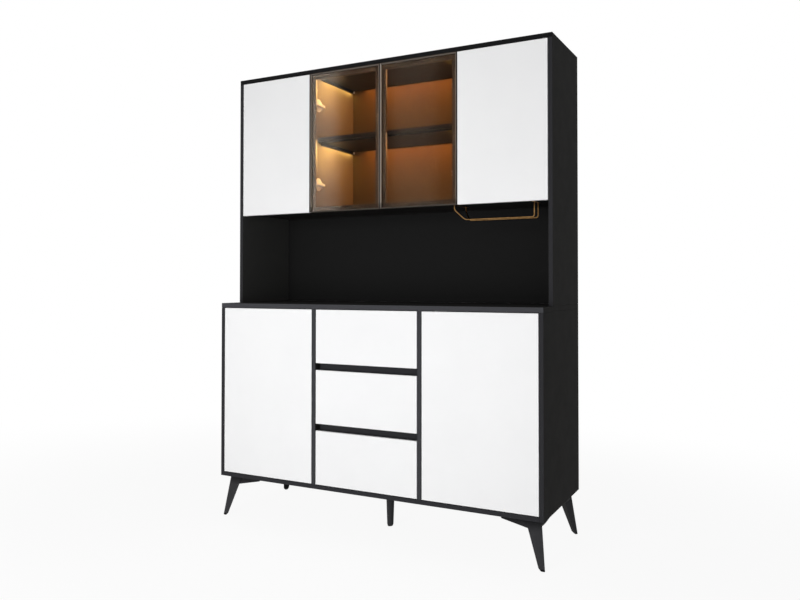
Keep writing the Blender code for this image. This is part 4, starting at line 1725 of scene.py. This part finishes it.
@dataclass
class Legs:
    """The corner legs with their plate screws, and the turned leg under the middle."""

    nodes: dict[str, bpy.types.Object]
    tools: Tools
    splay: float = 0.023
    plate: float = 0.004
    plate_holes: tuple[Span, ...] = ((0.115, 0.022), (0.078, 0.040), (0.030, 0.080))
    foot: float = 0.0135
    head: float = 0.019
    pad: float = 0.006
    pad_groove: float = 0.002
    steps: int = 6
    sides: int = 64

    def dress(self) -> None:
        """Paints the corner legs, sets the screws in their plates and builds the centre leg."""
        names = [f"{end}_{side.word}_leg" for end in ("front", "rear") for side in Side]
        paint(self.nodes, LEG_METAL, names)
        spots = []
        for end, back in (("front", 1), ("rear", -1)):
            for side in Side:
                low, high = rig.box(f"{end}_{side.word}_leg")
                x = side.outer(low, high) + side.value * self.splay
                y = (low[1] if back == 1 else high[1]) + back * self.splay
                for a, b in self.plate_holes:
                    spots.append(((x + side.value * a, y + back * b, high[2] - self.plate), (0, 0, -1)))
        self.tools.screws.add("leg_plate_screws", spots, LARGE_SCREW, SLIDE_STEEL)
        self.centre_leg()

    def centre_leg(self) -> None:
        """The tapered leg under the middle, on a dark pad, with its plate and screws."""
        low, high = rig.box("centre_leg")
        plate_radius = (high[0] - low[0]) / 2
        x, y = (low[0] + high[0]) / 2, (low[1] + high[1]) / 2

        def place(a: float, b: float, height: float) -> Point:
            """A point from the leg's own axis."""
            return (x + a, y + b, height)

        top, foot, head, groove = high[2], self.foot, self.head, self.pad + self.pad_groove
        under = top - self.plate
        profile = [(foot - 0.0016, self.pad), (foot - 0.0004, self.pad + 0.0008)]
        profile += [
            (foot + (head - foot) * k / self.steps, groove + (under - groove) * k / self.steps)
            for k in range(self.steps + 1)]
        profile += [(plate_radius - 0.0006, under), (plate_radius, under + 0.0006),
                    (plate_radius, top - 0.0004), (plate_radius - 0.0004, top)]
        post = turned(profile, place, self.sides)
        piece("centre_leg_post", post, LEG_METAL, replaces=("centre_leg",))
        pad = (
            (foot - 0.005, 0.0), (foot - 0.0028, 0.0006), (foot - 0.0016, 0.0022), (foot - 0.0014, self.pad),
        )
        piece("centre_leg_pad", turned(pad, place, self.sides), DARK_PLASTIC)
        reach = (plate_radius + head) / 2 + 0.0005
        spots = [
            (place(reach * math.cos(a), reach * math.sin(a), under), (0, 0, -1))
            for a in (math.pi / 4 + quarter for quarter in round_angles(4))]
        self.tools.screws.add("centre_leg_screws", spots, SMALL_SCREW, SLIDE_STEEL)


@dataclass
class StemwareRack:
    """Two bent brass rods between two plates under the hutch floor."""

    tools: Tools
    gauge: float = 0.006
    slot: float = 0.040
    mouth: float = 0.100
    flare: float = 0.034
    drop: float = 0.062
    knee: float = 0.023
    bend: float = 0.012
    plate: float = 0.0025
    plate_width: float = 0.016
    plate_margin: float = 0.010
    hole: float = 0.3
    sides: int = 24

    def dress(self) -> None:
        """Builds rods, plates and screws."""
        low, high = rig.box("stemware_rack")
        top = high[2]
        left, right = low[0] + self.plate_width / 2, high[0] - self.plate_width / 2
        middle = (low[1] + high[1]) / 2
        rods = []
        for sign in (-1, 1):
            mouth, slot = middle + sign * self.mouth / 2, middle + sign * self.slot / 2
            corners = (
                (left, mouth, top - self.plate / 2), (left, mouth, top - self.knee),
                (left + self.flare, slot, top - self.drop), (right, slot, top - self.drop),
                (right, slot, top - self.plate / 2))
            rods.append(wire(rounded_path(corners, self.bend), self.gauge / 2, self.sides))
        plates, spots = [], []
        for x, spread in ((left, self.mouth), (right, self.slot)):
            reach = spread / 2 + self.plate_margin
            plates.append(block(
                (x - self.plate_width / 2, middle - reach, top - self.plate),
                (x + self.plate_width / 2, middle + reach, top), rounding=0.0007))
            for y in ((-self.hole, self.hole) if spread > self.slot else (0.0,)):
                spots.append(((x, middle + y * spread, top - self.plate), (0, 0, -1)))
        piece("stemware_rods", merged([*rods, *plates]), AGED_BRASS, replaces=("stemware_rack",))
        self.tools.screws.add("stemware_rack_screws", spots, CUP_SCREW, AGED_BRASS)


@dataclass
class LightBars:
    """Slim warm light bars under the hutch top and the centre shelf, the side rails and their light."""

    bar_watts: float = 0.7
    end_watts: float = 0.75
    wash_watts: float = 2.7
    side_watts: float = 0.23
    glow: Colour = (1.0, 0.42, 0.12)
    pale_glow: Colour = (1.0, 0.80, 0.30)
    seat: float = 0.0003
    fit: float = 0.0001
    lip: float = 0.0012
    cap: float = 0.0012
    lean: float = 0.2
    lamp_drop: float = 0.005
    bar_depth: float = 0.012
    margin: float = 0.05
    wash: float = 0.12
    wash_gap: float = 0.005
    wash_drop: float = 0.0015
    end_spot: Span = (0.11, 0.035)
    end_size: Span = (0.06, 0.08)
    end_turn: float = 1.0
    end_spread: float = 2.2
    side_inset: float = 0.012
    side_width: float = 0.006
    side_margin: float = 0.03
    side_turn: float = 0.3
    rail_width: float = 0.009
    rail_height: float = 0.0132
    rail_start: float = 0.0006
    rail_end: float = 0.0115
    rail_gap: float = 0.001

    def dress(self) -> None:
        """Builds both bars and their lamps."""
        low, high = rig.box("light_bar")
        self.bar("top_light", Vector(low), Vector(high), ("light_bar",))
        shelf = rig.box("hutch_centre_shelf")
        drop = Vector((0.0, 0.0, shelf[0][2] - self.seat - high[2]))
        self.bar("shelf_light", Vector(low) + drop, Vector(high) + drop, ())

    def bar(self, name: str, low: Vector, high: Vector, replaces: Sequence[str]) -> None:
        """One bar: a metal channel, a frosted diffuser, the rails beside it and its light.

        Args:
            name: The bar's name.
            low: Its lowest corner.
            high: Its highest corner.
            replaces: Solids that it stands for.
        """
        lip, cap, z0, z1 = self.lip, self.cap, low.z, high.z
        outline = (
            (low.y, z0), (low.y + lip, z0), (low.y + lip, z1 - lip),
            (high.y, z1 - lip), (high.y, z1), (low.y, z1),
        )
        channel = prism(outline, lambda u, v, w: (w, u, v), low.x, high.x, rounding=0.0003)
        piece(f"{name}_channel", channel, LEG_METAL, replaces=replaces, smooth=False)
        front, back, top = low.y + lip + self.fit, high.y - 0.0004, z1 - lip - self.fit
        wedge = ((front, z0 + cap), (front, top), (back, top), (back, top - cap))
        diffuser = prism(wedge, lambda u, v, w: (w, u, v), low.x + cap, high.x - cap, rounding=0.0004)
        piece(f"{name}_diffuser", diffuser, WARM_LIGHT)
        self.rails(f"{name}_rails", low, high)
        self.light(name, low, high)

    def rails(self, name: str, low: Vector, high: Vector) -> None:
        """A slim rail along the top of each side board, which hides that side's lamp.

        Args:
            name: The piece's name.
            low: The bar's lowest corner.
            high: The bar's highest corner.
        """
        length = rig.box("hutch_back")[0][1] - high.y - self.rail_end
        solids = []
        for side in Side:
            place = mirror_place(side.outer(low, high), high.y, side)
            solids.append(block(
                place(0.0, self.rail_start, high.z - self.rail_height),
                place(self.rail_width, length, high.z)))
        piece(name, merged(solids), LEG_METAL)

    def light(self, name: str, low: Vector, high: Vector) -> None:
        """The light of one bar: along the bar, at its ends, over the back and down the side boards.

        Args:
            name: The bar's name.
            low: Its lowest corner.
            high: Its highest corner.
        """
        middle, forward, under = (low.x + high.x) / 2, (low.y + high.y) / 2, low.z - self.lamp_drop
        length, rear = high.x - low.x - 2 * self.margin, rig.box("hutch_back")[0][1]
        self.lamp(
            f"{name}_bar", (middle, forward, under), (self.lean, 0.0, 0.0), (length, self.bar_depth),
            self.bar_watts, self.glow)
        self.lamp(
            f"{name}_wash", (middle, rear - self.wash_gap - self.wash / 2, high.z - self.wash_drop),
            (0.0, 0.0, 0.0), (length - self.margin, self.wash), self.wash_watts, self.glow)
        for side in Side:
            place = mirror_place(side.outer(low, high), 0.0, side)
            inset, back = self.end_spot
            self.lamp(
                f"{name}_{side.word}_end", place(inset, forward + back, under),
                (0.0, side.value * self.end_turn, 0.0), self.end_size, self.end_watts, self.pale_glow,
                self.end_spread)
            below = high.z - self.rail_height - self.rail_gap
            self.lamp(
                f"{name}_{side.word}_side", place(self.side_inset, (high.y + rear) / 2, below),
                (0.0, side.value * self.side_turn, 0.0), (self.side_width, rear - high.y - self.side_margin),
                self.side_watts, self.pale_glow)

    def lamp(
        self, name: str, spot: Point, turn: Point, size: Span, watts: float, glow: Colour,
        spread: float = math.pi,
    ) -> None:
        """A flat lamp that lights the compartment and isn't mirrored in it.

        Args:
            name: The lamp's name.
            spot: Its middle.
            turn: Its turn from facing down, in radians.
            size: Its width and depth.
            watts: Its power.
            glow: Its colour.
            spread: The angle of its beam, in radians.
        """
        holder = area_lamp(name, spot, size, watts, glow)
        holder.data.spread = spread
        holder.rotation_euler = turn
        holder.visible_glossy = holder.visible_transmission = False


@dataclass
class Studio:
    """The pale floor, soft light and camera."""

    nodes: dict[str, bpy.types.Object]
    eye: Point = (1.661, -2.338, 1.074)
    yaw: float = 0.3743
    pitch: float = 0.0143
    roll: float = -0.003
    lens: float = 28.15
    sensor: float = 36.0
    shift: Span = (-0.1857, -0.0354)
    ambient: float = 0.34
    softbox_width: float = 2.0
    window_height: float = 1.9
    window_spot: Span = (-4.0, 2.8)
    window_colour: Colour = (1.0, 0.92, 0.80)
    floor_half: float = 14.0
    floor_drop: float = 0.0005
    floor_colour: Colour = (0.90, 0.90, 0.90)
    floor_speckle: float = 0.985
    floor_glow: float = 0.92
    floor_stretch: Point = (0.55, 1.0, 1.0)
    floor_fade: Span = (0.7, 2.2)

    def dress(self) -> None:
        """Builds floor, world, lamps and camera."""
        bpy.context.scene.view_settings.view_transform = "Standard"
        self.floor()
        self.world()
        self.softbox("key", (-0.35, -3.2, 1.0), (0.0, 0.0, 0.8), 64.0)
        self.softbox("fill", (3.2, -2.5, 0.9), (0.0, 0.0, 0.9), 18.0)
        self.window("left_window", (-4.20, -3.52), 250.0)
        self.window("right_window", (-2.71, -2.12), 50.0)
        self.camera()

    def floor(self) -> None:
        """The floor, which fades to the white background away from the cabinet."""
        solid = bmesh.new()
        bmesh.ops.create_grid(solid, x_segments=1, y_segments=1, size=self.floor_half)
        bmesh.ops.translate(solid, verts=solid.verts, vec=(0.0, 0.0, -self.floor_drop))
        mesh = plain_mesh("floor", solid)
        made = placed("floor", mesh)
        shade = Shade("floor")
        length = shade.node(
            "ShaderNodeVectorMath", {"operation": "LENGTH"}, {0: shade.place(self.floor_stretch)})
        away = Term(shade, length.outputs["Value"]).ramp(*self.floor_fade)
        speckle = shade.noise(40.0, 4.0)
        darker = tuple(self.floor_speckle * part for part in self.floor_colour)
        matt = shade.node("ShaderNodeBsdfPrincipled", None, {
            "Base Color": shade.mix(speckle, self.floor_colour, darker), "Roughness": 0.75,
            "Specular IOR Level": 0.1})
        white = shade.node("ShaderNodeEmission", None, {"Strength": 1.0})
        mixed = shade.node("ShaderNodeMixShader", None, {
            0: (self.floor_glow + (1.0 - self.floor_glow) * away) * shade.seen(), 1: matt.outputs[0],
            2: white.outputs[0]})
        shade.node("ShaderNodeOutputMaterial", None, {"Surface": mixed.outputs[0]})
        mesh.materials.append(shade.material)
        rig.stage(made)

    def world(self) -> None:
        """Even light from all round, and a white background for what is seen of it."""
        world = bpy.data.worlds.new("studio")
        bpy.context.scene.world = world
        world.use_nodes = True
        tree = Tree(world.node_tree)
        light = tree.node("ShaderNodeBackground", None, {"Strength": self.ambient})
        white = tree.node("ShaderNodeBackground", None, {"Color": (1.0, 1.0, 1.0, 1.0)})
        mixed = tree.node("ShaderNodeMixShader", None, {
            0: tree.seen(), 1: light.outputs[0], 2: white.outputs[0]})
        tree.node("ShaderNodeOutputWorld", None, {"Surface": mixed.outputs[0]})

    def softbox(self, name: str, spot: Point, aim: Point, watts: float) -> None:
        """A square soft lamp.

        Args:
            name: The lamp's name.
            spot: Where it hangs.
            aim: The point that it faces.
            watts: Its power.
        """
        holder = area_lamp(name, spot, (self.softbox_width, self.softbox_width), watts)
        holder.visible_glossy = False
        holder.rotation_euler = (Vector(aim) - Vector(spot)).to_track_quat("-Z", "Y").to_euler()

    def window(self, name: str, across: Span, watts: float) -> None:
        """A tall soft light in front of the cabinet that only the panes mirror.

        Args:
            name: The lamp's name.
            across: Its left and right edge.
            watts: Its power.
        """
        size = (across[1] - across[0], self.window_height)
        holder = area_lamp(name, (sum(across) / 2, *self.window_spot), size, watts, self.window_colour)
        holder.visible_diffuse = False
        holder.rotation_euler = (math.pi / 2, 0.0, 0.0)
        panes = bpy.data.collections.new(name)
        for side in Side:
            panes.objects.link(self.nodes[f"glass_{side.word}_door_pane"])
        holder.light_linking.receiver_collection = panes

    def camera(self) -> None:
        """The camera at the photograph's place, angle and framing."""
        data = bpy.data.cameras.new("camera")
        data.sensor_width = self.sensor
        data.lens = self.lens
        data.shift_x, data.shift_y = self.shift
        ahead = Vector((
            -math.sin(self.yaw) * math.cos(self.pitch), math.cos(self.yaw) * math.cos(self.pitch),
            math.sin(self.pitch)))
        right = Vector((math.cos(self.yaw), math.sin(self.yaw), 0.0))
        up = right.cross(ahead)
        tilted = right * math.cos(self.roll) + up * math.sin(self.roll)
        risen = up * math.cos(self.roll) - right * math.sin(self.roll)
        holder = placed("camera", data)
        turn = Matrix((tilted, risen, -ahead)).transposed().to_4x4()
        holder.matrix_world = Matrix.Translation(self.eye) @ turn
        bpy.context.scene.camera = holder


def main() -> None:
    """Builds the sub-assemblies in order and writes both boxes."""
    logging.basicConfig(level=logging.INFO, format="%(name)s: %(message)s")
    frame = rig.load()
    solids_box = [list(corner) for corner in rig.bounds()]
    nodes = frame["nodes"]
    tools = Tools()
    Studio(nodes).dress()
    for assembly in (
        Carcass(nodes, tools), Fronts(nodes, tools), Hinges(tools), Drawers(nodes, tools), Legs(nodes, tools),
        StemwareRack(tools), LightBars(),
    ):
        LOG.info("building %s", type(assembly).__name__)
        assembly.dress()
    dressed_box = [list(corner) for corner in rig.bounds()]
    with open("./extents.json", "w", encoding="utf-8") as handle:
        json.dump({"cad": solids_box, "visual": dressed_box}, handle)


if __name__ == "__main__":
    main()
